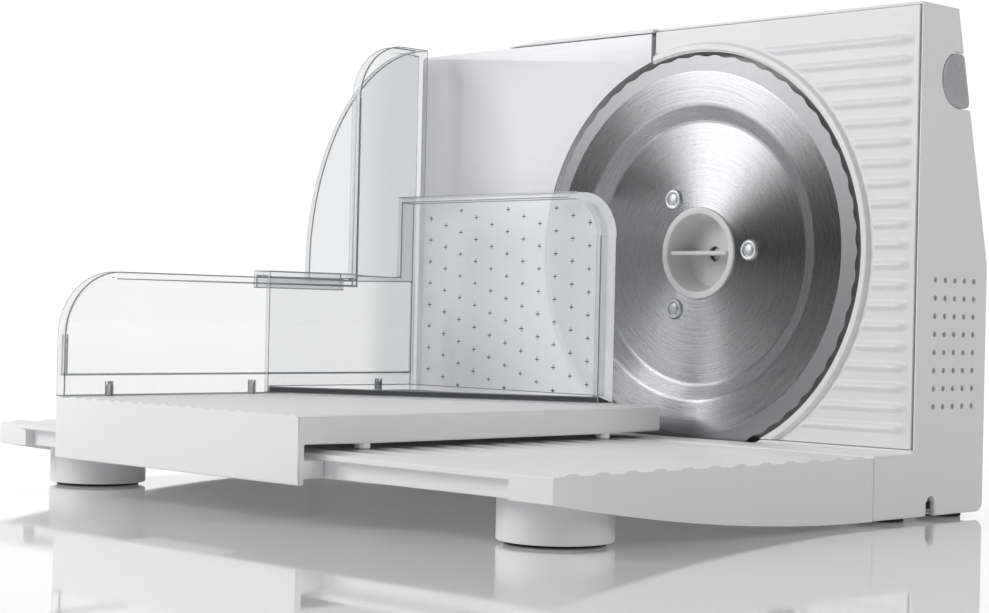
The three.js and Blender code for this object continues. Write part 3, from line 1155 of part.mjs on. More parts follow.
// Table and feet
piece('slide_table', slideTable(), whitePlastic);
piece('table_foot_right', tableFoot(footRightX), whitePlastic);
piece('table_foot_left', tableFoot(footLeftX), whitePlastic);
piece('foot_pad_right', footPad(footRightX), rubber);
piece('foot_pad_left', footPad(footLeftX), rubber);
const rubberPlaces = {
  front_right: [BODY_RIGHT - RUBBER_INSET_X, RUBBER_FRONT_Y],
  rear_right: [BODY_RIGHT - RUBBER_INSET_X, rubberRearY],
  front_left: [BASE_LEFT + RUBBER_INSET_X, RUBBER_FRONT_Y],
  rear_left: [BASE_LEFT + RUBBER_INSET_X, rubberRearY],
};
for (const [corner, [x, y]] of Object.entries(rubberPlaces)) {
  piece(`rubber_foot_${corner}`, rubberFoot(x, y), rubber);
}

// Motor
piece('motor_stator', stator(), lamination);
piece('field_coil_right', fieldCoil(1), copper);
piece('field_coil_left', fieldCoil(-1), copper);
piece('motor_bracket_lower', motorBracket(bracketLowZ, [bracketLowZ, statorZ - SEAT]), plainSteel);
piece('motor_bracket_upper',
  motorBracket(bracketHighZ, [statorZ + STATOR_H + SEAT, bracketHighZ + BRACKET_T]), plainSteel);
piece('bush_lower', bush(bracketLowZ - (BUSH_L - BRACKET_T) / 2), bronze);
piece('bush_upper', bush(bracketHighZ - (BUSH_L - BRACKET_T) / 2), bronze);
piece('top_bearing', topBearing(), greyPlastic);
piece('worm_shaft', wormShaft(), plainSteel);
piece('armature_core', armatureCore(), lamination);
piece('commutator', commutator(), copper);
piece('cooling_fan', coolingFan(), darkPlastic);
piece('brush_holder_right', brushHolder(1), darkPlastic);
piece('brush_holder_left', brushHolder(-1), darkPlastic);

// Gear train and blade
piece('reduction_gear', reductionGear(), gearPlastic);
const pinSpan = [bulkheadBackY + SEAT, bulgeRearY - WALL - SEAT];
piece('gear_pin', barY(GEAR_PIN_R, pinSpan, pinionX, pinionZ), plainSteel);
const spindleSpan = [gearFloorY + SEAT, pocketEndY + BOSS_L];
piece('blade_spindle', barY(SPINDLE_R, spindleSpan, 0, bladeAxisZ), plainSteel);
piece('blade_gear', bladeGear(), gearPlastic);
piece('blade', blade(), brushedSteel);
rivetPlaces.forEach((place, i) => piece(`blade_rivet_${i + 1}`, rivet(place), brushedSteel));
piece('blade_cap', bladeCap(), greyPlastic);

// Switch
piece('switch_button', switchButton(), buttonPlastic);
piece('switch_body', switchBody(), darkPlastic);
piece('button_spring', buttonSpring(), plainSteel);

// Stop plate and its dial
piece('stop_plate_facing', stopSolid(0, [0, STOP_SHEET]), brushedSteel);
piece('stop_plate_carrier', stopCarrier(), whitePlastic);
piece('guide_rod_left', guideRod(ROD_LEFT_X), plainSteel);
piece('guide_rod_right', guideRod(ROD_RIGHT_X), plainSteel);
piece('dial_knob', dialKnob(), greyPlastic);
piece('dial_spindle', barY(DIAL_SHAFT_R, [ARM_Y + SEAT, dialEndY - 4 - SEAT], DIAL_X, DIAL_Z), plainSteel);

// Carriage and food holder
piece('carriage_deck', carriageDeck(), whitePlastic);
piece('carriage_wall', carriageWall(), clearPlastic);
wallScrewPlaces.forEach((place, i) => piece(`wall_screw_${i + 1}`, wallScrew(place), plainSteel));
piece('food_holder', foodHolder(), clearPlastic);

// The origin lies on the worktop under the middle of the footprint.
const leftEnd = DECK_LEFT - GUARD_REACH;
const rightEnd = BODY_RIGHT + BUTTON_PROUD;
slicer.position.set(-(leftEnd + rightEnd) / 2, -(deckFrontY + dialEndY) / 2, 0);

export default slicer;
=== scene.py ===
"""Food slicer: finished surfaces, materials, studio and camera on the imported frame."""
import json
import math

import bmesh
import bpy
import numpy as np
from mathutils import Matrix, Vector


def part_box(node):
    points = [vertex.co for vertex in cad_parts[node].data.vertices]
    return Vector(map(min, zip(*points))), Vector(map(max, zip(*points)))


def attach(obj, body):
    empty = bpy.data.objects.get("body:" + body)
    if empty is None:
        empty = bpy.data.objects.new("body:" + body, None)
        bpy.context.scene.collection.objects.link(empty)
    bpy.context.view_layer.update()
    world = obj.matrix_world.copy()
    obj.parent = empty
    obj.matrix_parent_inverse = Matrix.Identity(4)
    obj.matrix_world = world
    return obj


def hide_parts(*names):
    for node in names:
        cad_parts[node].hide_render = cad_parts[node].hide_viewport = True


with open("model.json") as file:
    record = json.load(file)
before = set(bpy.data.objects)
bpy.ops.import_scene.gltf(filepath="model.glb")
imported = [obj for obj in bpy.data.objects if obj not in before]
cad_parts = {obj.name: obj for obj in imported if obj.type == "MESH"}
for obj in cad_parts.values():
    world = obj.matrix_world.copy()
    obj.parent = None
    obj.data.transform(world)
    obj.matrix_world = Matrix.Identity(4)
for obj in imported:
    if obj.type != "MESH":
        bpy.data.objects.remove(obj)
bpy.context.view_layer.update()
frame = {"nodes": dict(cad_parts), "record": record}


# Studio
# The slicer stands on a light table of glossy white acrylic in front of a lit white wall. A large soft light
# stands at the front left, a light panel lies on the floor there, and a lamp stands on the right. The room is
# dim at eye level and brighter above.

def srgb(code):
    """The linear colour, with alpha, of an sRGB hex code."""
    values = [int(code[i:i + 2], 16) / 255 for i in (1, 3, 5)]
    linear = [v / 12.92 if v <= 0.04045 else ((v + 0.055) / 1.055) ** 2.4 for v in values]
    return (*linear, 1.0)


def add(tree, kind, settings=None, out=0, **inputs):
    """Adds a shader node, sets its properties, fills its inputs with values or other nodes' outputs, and
    returns one of its outputs. An underscore in the name of an input stands for a space."""
    node = tree.nodes.new("ShaderNode" + kind)
    for name, value in (settings or {}).items():
        setattr(node, name, value)
    for name, value in inputs.items():
        socket = next(s for s in node.inputs if name in (s.identifier, s.name.replace(" ", "_")))
        if isinstance(value, bpy.types.NodeSocket):
            tree.links.new(value, socket)
        else:
            socket.default_value = value
    return node.outputs[out] if node.outputs else None


def shader(name):
    """A new material, its empty tree, and the Object coordinates in it."""
    material = bpy.data.materials.new(name)
    material.use_nodes = True
    tree = material.node_tree
    tree.nodes.clear()
    return material, tree, add(tree, "TexCoord", out="Object")


# The range that noise mostly stays in. Its scale below is 1000 over the width of its lumps in millimetres.
NOISE = {"From_Min": 0.3, "From_Max": 0.7}

# Cast acrylic sheet: polished, with a very slight waviness.
acrylic, tree, place = shader("polished_white_acrylic")
cloud = add(tree, "TexNoise", Vector=place, Scale=1000 / 300)
waves = add(tree, "TexNoise", Vector=place, Scale=1000 / 60, Detail=1)
face = add(tree, "BsdfPrincipled", Metallic=0.2, IOR=1.6,
           Base_Color=add(tree, "MixRGB", Fac=cloud, Color1=srgb("#ececed"), Color2=srgb("#f3f3f4")),
           Roughness=add(tree, "MapRange", Value=waves, To_Min=0.03, To_Max=0.06, **NOISE),
           Emission_Color=srgb("#ffffff"), Emission_Strength=0.06)
add(tree, "OutputMaterial", Surface=face)

FLOOR_HALF = 8.0
FLOOR_Z = -0.0003
floor_mesh = bpy.data.meshes.new("floor")
floor_mesh.from_pydata([(x * FLOOR_HALF, y * FLOOR_HALF, FLOOR_Z) for x, y in
                        ((-1, -1), (1, -1), (1, 1), (-1, 1))], [], [(0, 1, 2, 3)])
floor = bpy.data.objects.new("floor", floor_mesh)
bpy.context.scene.collection.objects.link(floor)
floor_mesh.materials.append(acrylic)

# The camera stands right of the front corner, a hand's width above the worktop, a little rolled.
CAMERA_PLACE = Vector((0.62395, -0.6087, 0.0783))
CAMERA_TURN = math.radians(44.97)
CAMERA_TILT = math.radians(-0.17)
CAMERA_ROLL = math.radians(1.29)
FOCAL_MM = 74.22
SENSOR_MM = 36
ahead = Vector((-math.sin(CAMERA_TURN), math.cos(CAMERA_TURN), 0))
right = Vector((math.cos(CAMERA_TURN), math.sin(CAMERA_TURN), 0))
up = Vector((0, 0, 1))
look = ahead * math.cos(CAMERA_TILT) - up * math.sin(CAMERA_TILT)
head = up * math.cos(CAMERA_TILT) + ahead * math.sin(CAMERA_TILT)
side = right * math.cos(CAMERA_ROLL) + head * math.sin(CAMERA_ROLL)
head = head * math.cos(CAMERA_ROLL) - right * math.sin(CAMERA_ROLL)
lens = bpy.data.cameras.new("camera")
lens.lens = FOCAL_MM
lens.sensor_width = SENSOR_MM
camera = bpy.data.objects.new("camera", lens)
camera.matrix_world = Matrix((side, head, -look)).transposed().to_4x4()
camera.location = CAMERA_PLACE
bpy.context.scene.collection.objects.link(camera)
bpy.context.scene.camera = camera
bpy.context.scene.view_settings.view_transform = "Standard"

# The room: white where the camera looks, dim at eye level, a little dimmer on the right, brighter above. A
# span is a part of the direction: along the view for the wall, from right to left for the low light, upwards
# for the high light.
WALL_LIGHT = 1.08
WALL_SPAN = (0.3, 0.75)
LOW_LIGHT = (0.04, 0.06)
LOW_SPAN = (0.6, -0.6)
HIGH_LIGHT = 0.34
HIGH_SPAN = (0.0, 0.7)
world = bpy.data.worlds.new("studio")
bpy.context.scene.world = world
world.use_nodes = True
tree = world.node_tree
tree.nodes.clear()
direction = add(tree, "TexCoord", out="Generated")
SMOOTH = {"interpolation_type": "SMOOTHSTEP"}
leftward = add(tree, "MapRange", SMOOTH, Value=add(tree, "SeparateXYZ", out="X", Vector=direction),
               From_Min=LOW_SPAN[0], From_Max=LOW_SPAN[1], To_Min=LOW_LIGHT[0], To_Max=LOW_LIGHT[1])
upward = add(tree, "MapRange", SMOOTH, Value=add(tree, "SeparateXYZ", out="Z", Vector=direction),
             From_Min=HIGH_SPAN[0], From_Max=HIGH_SPAN[1])
facing = add(tree, "VectorMath", {"operation": "DOT_PRODUCT"}, "Value", Vector=direction,
             Vector_001=ahead)
onward = add(tree, "MapRange", SMOOTH, Value=facing, From_Min=WALL_SPAN[0], From_Max=WALL_SPAN[1])
room = add(tree, "MixRGB", Fac=upward, Color1=leftward, Color2=(HIGH_LIGHT,) * 3 + (1,))
light = add(tree, "MixRGB", Fac=onward, Color1=room, Color2=(WALL_LIGHT,) * 3 + (1,))
add(tree, "OutputWorld", Surface=add(tree, "Background", Color=light))


def softbox(name, place, target, width, height, watts):
    """A rectangular lamp at a place that faces a target, in metres."""
    lamp = bpy.data.lights.new(name, "AREA")
    lamp.shape = "RECTANGLE"
    lamp.size = width
    lamp.size_y = height
    lamp.energy = watts
    holder = bpy.data.objects.new(name, lamp)
    holder.location = place
    holder.rotation_euler = (Vector(target) - Vector(place)).to_track_quat("-Z", "Y").to_euler()
    holder.visible_camera = False
    bpy.context.scene.collection.objects.link(holder)


softbox("front_softbox", (-0.72, -1.04, 0.75), target=(0.0, 0.05, 0.1), width=0.6, height=0.8, watts=11.5)
softbox("floor_panel", (-0.42, -0.36, 0.008), target=(-0.42, -0.36, 1.0), width=0.4, height=0.4, watts=0.6)
softbox("right_softbox", (1.5, 0.3, 0.7), target=(0.1, 0.0, 0.1), width=0.8, height=0.8, watts=5.5)


# Housing shell
# The white body: right side with a field of round vent holes and a cord notch, top, base with a front ledge.
# Injection-moulded ABS with a fine spark-eroded grain and small rounded edges.

def moulded(name, colours, shade, gloss, sheen, grain, depth, **others):
    """A moulded or lacquered finish, in millimetres: two colours that change over the width shade, roughness
    between two values that changes over the width sheen, and a grain of that width and depth. Others are
    values of the surface itself."""
    material, tree, place = shader(name)
    drift = add(tree, "TexNoise", Vector=place, Scale=1000 / shade)
    patches = add(tree, "TexNoise", Vector=place, Scale=1000 / sheen)
    lumps = add(tree, "TexNoise", Vector=place, Scale=1000 / grain)
    face = add(tree, "BsdfPrincipled", **others,
               Base_Color=add(tree, "MixRGB", Fac=drift, Color1=srgb(colours[0]), Color2=srgb(colours[1])),
               Roughness=add(tree, "MapRange", Value=patches, To_Min=gloss[0], To_Max=gloss[1], **NOISE),
               Normal=add(tree, "Bump", Height=lumps, Distance=depth / 1000))
    add(tree, "OutputMaterial", Surface=face)
    return material


# White ABS: satin, 0.4 mm tool grain, a slow drift of shade between thick and thin walls.
white_abs = moulded("white_abs_spark_grain", ("#f2f2f3", "#f8f8f9"), shade=70, gloss=(0.36, 0.46), sheen=3,
                    grain=0.4, depth=0.012, IOR=1.53)

axle = next(j for j in frame["record"]["behaviour"]["joints"] if j["name"] == "blade_spin")["pos_m"]
BLADE_AXIS_Z = 1000 * axle[2]


def shift(points):
    """Points in millimetres from the blade's axis, cutting edge and worktop, in the frame's metres."""
    return np.asarray(points, float) / 1000 + (axle[0], axle[1], 0)


def finish(piece, material, body, slot, *nodes):
    """Gives a piece its material and the body that it rides on, and hides the solids that it stands for."""
    piece.data.materials.append(material)
    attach(piece, body)
    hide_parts(*nodes)


# Faces that meet at less than the first angle count as flat, edges sharper than the second are rounded, and
# edges of turned and drawn surfaces sharper than the third stay sharp. Seams are widths in metres.
FLAT_ANGLE = math.radians(0.6)
ROUND_ANGLE = math.radians(30)
SHARP_ANGLE = math.radians(35)
ROUND_STEPS = 3
SOLID_SEAM = 1e-6
DRAWN_SEAM = 2e-7
NO_LENGTH = 1e-8


def merged(node):
    """A bmesh copy of a solid with its loose triangles joined."""
    work = bmesh.new()
    work.from_mesh(frame["nodes"][node].data)
    bmesh.ops.remove_doubles(work, verts=work.verts, dist=SOLID_SEAM)
    return work


def planes(work):
    """Lists of faces that touch and lie in one plane."""
    seen = set()
    for first in work.faces:
        if first in seen:
            continue
        seen.add(first)
        group = [first]
        for face in group:
            for edge in face.edges:
                if edge.is_manifold and edge.calc_face_angle() < FLAT_ANGLE:
                    fresh = [other for other in edge.link_faces if other not in seen]
                    seen.update(fresh)
                    group += fresh
        yield group


def softened(name, work, width, shortest=5.0, rim=0.0):
    """An object from a bmesh: flat faces are joined, and each sharp edge longer than shortest millimetres is
    rounded with a bevel of that width in millimetres. Where rim isn't 0, flat faces narrower than rim
    millimetres take the second material and the rounded edges the third."""
    bmesh.ops.dissolve_limit(work, angle_limit=FLAT_ANGLE, verts=work.verts, edges=work.edges)
    for group in planes(work) if rim else ():
        longest = np.ptp([vert.co for face in group for vert in face.verts], axis=0).max()
        narrow = int(sum(face.calc_area() for face in group) / longest * 1000 < rim)
        for face in group:
            face.material_index = narrow
    bmesh.ops.triangulate(work, faces=[face for face in work.faces if len(face.verts) > 4])
    weight = work.edges.layers.float.new("bevel_weight_edge")
    for edge in work.edges:
        if edge.is_manifold and edge.calc_face_angle() > ROUND_ANGLE:
            edge.smooth = False
            edge[weight] = float(edge.calc_length() * 1000 > shortest)
    for face in work.faces:
        face.smooth = True
    mesh = bpy.data.meshes.new(name)
    work.to_mesh(mesh)
    work.free()
    piece = bpy.data.objects.new(name, mesh)
    bpy.context.scene.collection.objects.link(piece)
    bevel = piece.modifiers.new("rounded_edges", "BEVEL")
    bevel.limit_method = "WEIGHT"
    bevel.width = width / 1000
    bevel.segments = ROUND_STEPS
    bevel.use_clamp_overlap = False
    bevel.material = 2 if rim else -1
    flat = piece.modifiers.new("flat_faces", "WEIGHTED_NORMAL")
    flat.keep_sharp = True
    return piece


def solid(name, points, faces):
    """An object from points in slicer millimetres and face tuples; doubled points at seams are merged."""
    mesh = bpy.data.meshes.new(name)
    mesh.from_pydata(shift(points).tolist(), [], [tuple(int(i) for i in face) for face in faces])
    work = bmesh.new()
    work.from_mesh(mesh)
    bmesh.ops.remove_doubles(work, verts=work.verts, dist=DRAWN_SEAM)
    bmesh.ops.dissolve_degenerate(work, edges=work.edges, dist=NO_LENGTH)
    bmesh.ops.recalc_face_normals(work, faces=work.faces)
    work.to_mesh(mesh)
    work.free()
    mesh.shade_smooth()
    mesh.set_sharp_from_angle(angle=SHARP_ANGLE)
    piece = bpy.data.objects.new(name, mesh)
    bpy.context.scene.collection.objects.link(piece)
    return piece


def web(rows, columns, round_rows=False, round_columns=False):
    """Quads over a grid of points with that many rows and columns, closed on itself where asked."""
    r = np.arange(rows if round_rows else rows - 1)[:, None]
    c = np.arange(columns if round_columns else columns - 1)[None, :]
    corners = [(r, c), (r + 1, c), (r + 1, c + 1), (r, c + 1)]
    quads = [(a % rows) * columns + b % columns for a, b in corners]
    return np.stack([np.broadcast_to(q, (r.size, c.size)) for q in quads], -1).reshape(-1, 4)


def together(*parts):
    """Several closed shells as one list of points and faces."""
    points, faces, count = [], [], 0
    for spots, cells in parts:
        points.append(spots)
        faces += [tuple(int(i) + count for i in cell) for cell in cells]
        count += len(spots)
    return np.concatenate(points), faces


BODY_RIGHT = 112.5
BODY_WALL = 2.6
BODY_EDGE = 0.9
VENT_R = 1.2
VENT_COUNT = (5, 8)
VENT_FIRST = (14.6, 95.2)
VENT_PITCH = (7.0, -7.2)
VENT_SIDES = 20
VENT_PAST = 2.0


def vents():
    """Round pins along X through the right wall: y = Y + R cos a, z = Z + R sin a over the grid."""
    angle = np.linspace(0, 2 * np.pi, VENT_SIDES, endpoint=False)
    ends = [range(VENT_SIDES)[::-1], range(VENT_SIDES, 2 * VENT_SIDES)]
    pins = []
    for column, row in np.ndindex(VENT_COUNT):
        y = VENT_FIRST[0] + column * VENT_PITCH[0] + VENT_R * np.cos(angle)
        z = VENT_FIRST[1] + row * VENT_PITCH[1] + VENT_R * np.sin(angle)
        x = np.array([[BODY_RIGHT - BODY_WALL - VENT_PAST], [BODY_RIGHT + VENT_PAST]])
        points = np.stack(np.broadcast_arrays(x, y, z), -1).reshape(-1, 3)
        pins.append((points, [*web(2, VENT_SIDES, round_columns=True), *ends]))
    return together(*pins)


def carved(node, points, faces):
    """A bmesh of a solid with closed shells cut out of it."""
    block = bpy.data.objects.new("block", bpy.data.meshes.new("block"))
    bpy.context.scene.collection.objects.link(block)
    work = merged(node)
    work.to_mesh(block.data)
    work.free()
    tool = solid("tool", points, faces)
    cut = block.modifiers.new("cut", "BOOLEAN")
    cut.object = tool
    cut.solver = "EXACT"
    result = bmesh.new()
    result.from_object(block, bpy.context.evaluated_depsgraph_get())
    bpy.data.objects.remove(block)
    bpy.data.objects.remove(tool)
    return result


housing = softened("housing_body", carved("housing_shell", *vents()), BODY_EDGE)

# The lip round the front panel and the sill below it are thin, so their edges are rounded less.
LIP_SPAN = (-1.0, 2.5)
LIP_SHARE = 0.45
low, high = (float(shift((0, y, 0))[1]) for y in LIP_SPAN)
weights = housing.data.attributes["bevel_weight_edge"].data
for edge in housing.data.edges:
    if all(low < housing.data.vertices[i].co.y < high for i in edge.vertices):
        weights[edge.index].value *= LIP_SHARE
finish(housing, white_abs, "housing", "white_plastic", "housing_shell")


# Rear cover, bottom plate and bulkhead
# White ABS mouldings that close the body: the cover has the motor bulge and its air slots, the bulkhead
# behind the blade carries the gear pocket. Four steel screws hold the cover.

COVER_EDGE = 0.8
BOTTOM_EDGE = 0.4
BULKHEAD_EDGE = 0.3
rear_cover = softened("rear_cover_body", merged("rear_cover"), COVER_EDGE)
finish(rear_cover, white_abs, "housing", "white_plastic", "rear_cover")
bottom = softened("bottom_plate_body", merged("bottom_plate"), BOTTOM_EDGE)
finish(bottom, white_abs, "housing", "white_plastic", "bottom_plate")
bulkhead = softened("bulkhead_body", merged("bulkhead"), BULKHEAD_EDGE)
finish(bulkhead, white_abs, "housing", "white_plastic", "bulkhead")


def paint(material, *nodes):
    """Gives solids that keep their own shape a finished material."""
    for node in nodes:
        frame["nodes"][node].data.materials.clear()
        frame["nodes"][node].data.materials.append(material)


# Zinc-plated steel: bright, slightly mottled by the plating bath.
plated_steel, tree, place = shader("zinc_plated_steel")
spangle = add(tree, "TexNoise", Vector=place, Scale=1000 / 4)
haze = add(tree, "TexNoise", Vector=place, Scale=1000 / 1.2)
face = add(tree, "BsdfPrincipled", Metallic=1.0,
           Base_Color=add(tree, "MixRGB", Fac=spangle, Color1=srgb("#b9bbbd"), Color2=srgb("#cfd1d3")),
           Roughness=add(tree, "MapRange", Value=haze, To_Min=0.34, To_Max=0.46, **NOISE))
add(tree, "OutputMaterial", Surface=face)
paint(plated_steel, *[f"cover_screw_{i}" for i in (1, 2, 3, 4)])


# Rubber feet
# Moulded discs of black nitrile rubber: four pressed into the base and one under each of the two table feet.
# They keep the slicer from sliding.

# Nitrile rubber: dark grey, dull, with a fine moulded pebble and a trace of dust.
rubber, tree, place = shader("black_nitrile_rubber")
dust = add(tree, "TexNoise", Vector=place, Scale=1000 / 6, Detail=4)
patches = add(tree, "TexNoise", Vector=place, Scale=1000 / 2)
pebble = add(tree, "TexNoise", Vector=place, Scale=1000 / 0.7)
face = add(tree, "BsdfPrincipled",
           Base_Color=add(tree, "MixRGB", Fac=dust, Color1=srgb("#1c1c1d"), Color2=srgb("#2e2e30")),
           Roughness=add(tree, "MapRange", Value=patches, To_Min=0.62, To_Max=0.8, **NOISE),
           Normal=add(tree, "Bump", Height=pebble, Distance=0.02 / 1000))
add(tree, "OutputMaterial", Surface=face)
paint(rubber, "foot_pad_right", "foot_pad_left", *[
    f"rubber_foot_{corner}" for corner in ("front_right", "rear_right", "front_left", "rear_left")])


# Motor
# A small universal motor: laminated steel stator with two enamelled copper windings, a wound rotor with its
# commutator and fan on a steel worm shaft, bronze bushes in pressed steel brackets, moulded brush holders.

# Stacked electrical steel: dark oxide blue-grey. Its half-millimetre sheets are drawn as bands 3 mm high
# along the shaft, to show. At scale 1 a wave pattern runs through 20 radians per metre.
STACK_PITCH = 3.1416
lamination, tree, place = shader("electrical_steel_laminations")
stack = add(tree, "TexWave", {"wave_type": "BANDS", "bands_direction": "Z"}, "Fac",
            Vector=place, Scale=1000 * 2 * math.pi / 20 / STACK_PITCH, Distortion=0.4)
patches = add(tree, "TexNoise", Vector=place, Scale=1000 / 3)
face = add(tree, "BsdfPrincipled", Metallic=0.9,
           Base_Color=add(tree, "MixRGB", Fac=stack, Color1=srgb("#4a4d52"), Color2=srgb("#7b7f84")),
           Roughness=add(tree, "MapRange", Value=patches, To_Min=0.4, To_Max=0.55, **NOISE),
           Normal=add(tree, "Bump", Height=stack, Distance=0.05 / 1000))
add(tree, "OutputMaterial", Surface=face)
paint(lamination, "motor_stator", "armature_core")

# Enamelled copper wire: reddish varnish over copper. Its 0.45 mm wires are drawn as strands 3.3 mm wide, to
# show. At scale 1 a diagonal wave runs through 10 radians per metre along each axis.
STRAND_PITCH = 3.265
copper, tree, place = shader("enamelled_copper_wire")
wires = add(tree, "TexWave", {"wave_type": "BANDS", "bands_direction": "DIAGONAL"}, "Fac",
            Vector=place, Scale=1000 * 2 * math.pi / 10 / math.sqrt(3) / STRAND_PITCH, Distortion=1.5)
face = add(tree, "BsdfPrincipled", Metallic=0.8, Roughness=0.3, Coat_Weight=0.6,
           Base_Color=add(tree, "MixRGB", Fac=wires, Color1=srgb("#7a3a1c"), Color2=srgb("#c4703a")),
           Normal=add(tree, "Bump", Height=wires, Distance=0.08 / 1000))
add(tree, "OutputMaterial", Surface=face)
paint(copper, "field_coil_right", "field_coil_left", "commutator")

# Sintered bronze: oily, with open pores about 0.2 mm across.
bronze, tree, place = shader("sintered_bronze")
oil = add(tree, "TexNoise", Vector=place, Scale=1000 / 2)
pores = add(tree, "TexNoise", Vector=place, Scale=1000 / 0.2, Detail=3)
face = add(tree, "BsdfPrincipled", Metallic=1.0,
           Base_Color=add(tree, "MixRGB", Fac=oil, Color1=srgb("#8d6a35"), Color2=srgb("#b58c4e")),
           Roughness=add(tree, "MapRange", Value=pores, To_Min=0.3, To_Max=0.5, **NOISE),
           Normal=add(tree, "Bump", Height=pores, Distance=0.02 / 1000))
add(tree, "OutputMaterial", Surface=face)
paint(bronze, "bush_lower", "bush_upper")

# Ground and pressed steel: fine upright lines, 0.3 mm wide and 6 mm long.
ground_steel, tree, place = shader("ground_steel")
upright = add(tree, "Mapping", Vector=place, Scale=(1.0, 1.0, 0.05))
lines = add(tree, "TexNoise", Vector=upright, Scale=1000 / 0.3)
face = add(tree, "BsdfPrincipled", Metallic=1.0,
           Base_Color=add(tree, "MixRGB", Fac=lines, Color1=srgb("#a6a9ac"), Color2=srgb("#c9cbcd")),
           Roughness=add(tree, "MapRange", Value=lines, To_Min=0.24, To_Max=0.38, **NOISE))
add(tree, "OutputMaterial", Surface=face)
paint(ground_steel, "motor_bracket_lower", "motor_bracket_upper", "worm_shaft", "gear_pin", "blade_spindle",
      "button_spring", "guide_rod_left", "guide_rod_right", "dial_spindle")

# Glass-filled nylon: near black, short fibres just visible.
dark_nylon, tree, place = shader("black_glass_filled_nylon")
fibres = add(tree, "TexNoise", Vector=place, Scale=1000 / 0.6, Detail=3)
face = add(tree, "BsdfPrincipled",
           Base_Color=add(tree, "MixRGB", Fac=fibres, Color1=srgb("#202123"), Color2=srgb("#303134")),
           Roughness=add(tree, "MapRange", Value=fibres, To_Min=0.42, To_Max=0.6, **NOISE),
           Normal=add(tree, "Bump", Height=fibres, Distance=0.015 / 1000))
add(tree, "OutputMaterial", Surface=face)
paint(dark_nylon, "cooling_fan", "brush_holder_right", "brush_holder_left", "switch_body")

# Acetal gears: milky white, waxy.
acetal = moulded("natural_acetal", ("#e4e2da", "#f1efe8"), shade=8, gloss=(0.3, 0.4), sheen=2, grain=0.5,
                 depth=0.01, Subsurface_Weight=0.1)
paint(acetal, "reduction_gear", "blade_gear", "top_bearing")


# Front panel
# A white ABS sheet clipped into the front of the body round the blade, with rounded horizontal ribs and a
# raised smooth collar about the blade opening.

def ease(value):
    """A smooth step from 0 to 1."""
    t = np.clip(value, 0, 1)
    return t * t * (3 - 2 * t)


PANEL_RIGHT = 110.8
PANEL_LEFT = -24.7
PANEL_TOP = 203.0
PANEL_BOTTOM = 28.2
PANEL_FACE = 1.6
PANEL_THICK = 2.6
OPENING_R = 86.4
OPENING_GAP = 0.02
COLLAR_R = 90.4
COLLAR_RISE = 1.9
COLLAR_EDGE = 1.1
COLLAR_FALL = 1.4
COLLAR_INNER = 0.55
COLLAR_LEAD = 1.2
RIB_PITCH = 8.1
RIB_WIDTH = 4.2
RIB_RISE = 1.6
RIB_START = 0.95
RIB_LAST = 19
RIB_FULLNESS = 0.7
RIB_MARGIN = 1.4
RIB_FADE = 6.0
RIB_GAP = 0.6
RIB_LEAD = 1.8
# Grid of the face: rays round the opening, and steps along a ray near the opening and beyond it.
PANEL_RAYS = 560
NEAR_SHARE = 0.25
NEAR_STEPS = 26
FAR_STEPS = 90


def panel():
    """Rays from the blade axis at angle a run from the opening to the panel's edge: r = R + t (E(a) - R),
    where E(a) is the distance to the rectangle. The face is lifted by the collar and by ribs, each a power of
    a cosine across."""
    top, bottom = PANEL_TOP - BLADE_AXIS_Z, PANEL_BOTTOM - BLADE_AXIS_Z
    low = math.atan2(bottom, math.sqrt(OPENING_R ** 2 - bottom ** 2))
    high = math.acos(PANEL_LEFT / OPENING_R)
    corners = [math.atan2(z, x) for x, z in ((PANEL_RIGHT, bottom), (PANEL_RIGHT, top), (PANEL_LEFT, top))]
    angle = np.unique(np.concatenate([np.linspace(low, high, PANEL_RAYS), corners]))
    c, s = np.cos(angle), np.sin(angle)
    with np.errstate(divide="ignore"):
        reach = np.stack([
            np.where(c > 1e-9, PANEL_RIGHT / c, np.inf), np.where(c < -1e-9, PANEL_LEFT / c, np.inf),
            np.where(s > 1e-9, top / s, np.inf), np.where(s < -1e-9, bottom / s, np.inf)]).min(0)
    reach = np.maximum(reach, OPENING_R + OPENING_GAP)
    t = np.concatenate([np.linspace(0, NEAR_SHARE, NEAR_STEPS), np.linspace(NEAR_SHARE, 1, FAR_STEPS)[1:]])
    r = OPENING_R + t[:, None] * (reach - OPENING_R)
    x, z = r * c, BLADE_AXIS_Z + r * s
    row = (z - PANEL_BOTTOM) / RIB_PITCH - RIB_START
    across = np.clip(np.abs(row - np.round(row)) * RIB_PITCH / (RIB_WIDTH / 2), 0, 1)
    along = ease((PANEL_RIGHT - RIB_MARGIN - x) / RIB_FADE) * ease((r - COLLAR_R - RIB_GAP) / RIB_LEAD)
    inside = (np.round(row) >= 0) & (np.round(row) <= RIB_LAST)
    rib = RIB_RISE * (0.5 + 0.5 * np.cos(np.pi * across)) ** RIB_FULLNESS * along * inside
    crest = COLLAR_INNER + (1 - COLLAR_INNER) * ease((r - OPENING_R) / COLLAR_LEAD)
    collar = COLLAR_RISE * crest * (1 - ease((r - COLLAR_R + COLLAR_EDGE) / COLLAR_FALL))
    face = PANEL_FACE - np.maximum(rib, collar)
    front = np.stack([x, face, z], -1)
    back = np.stack([x[[-1, 0]], np.full_like(x[[-1, 0]], PANEL_FACE + PANEL_THICK), z[[-1, 0]]], -1)
    rings = np.concatenate([front, back])
    rows, columns = rings.shape[:2]
    ends = [np.arange(rows) * columns, np.arange(rows)[::-1] * columns + columns - 1]
    return rings.reshape(-1, 3), [*web(rows, columns, round_rows=True), *ends]


front_panel = solid("front_panel_ribbed", *panel())
finish(front_panel, white_abs, "housing", "white_plastic", "front_panel")


# Blade
# A stamped stainless disc: a toothed edge on a ground bevel, a nearly flat outer ring, a step for stiffness
# and a flat middle, brushed in circles. Three rivets hold it on its gear.

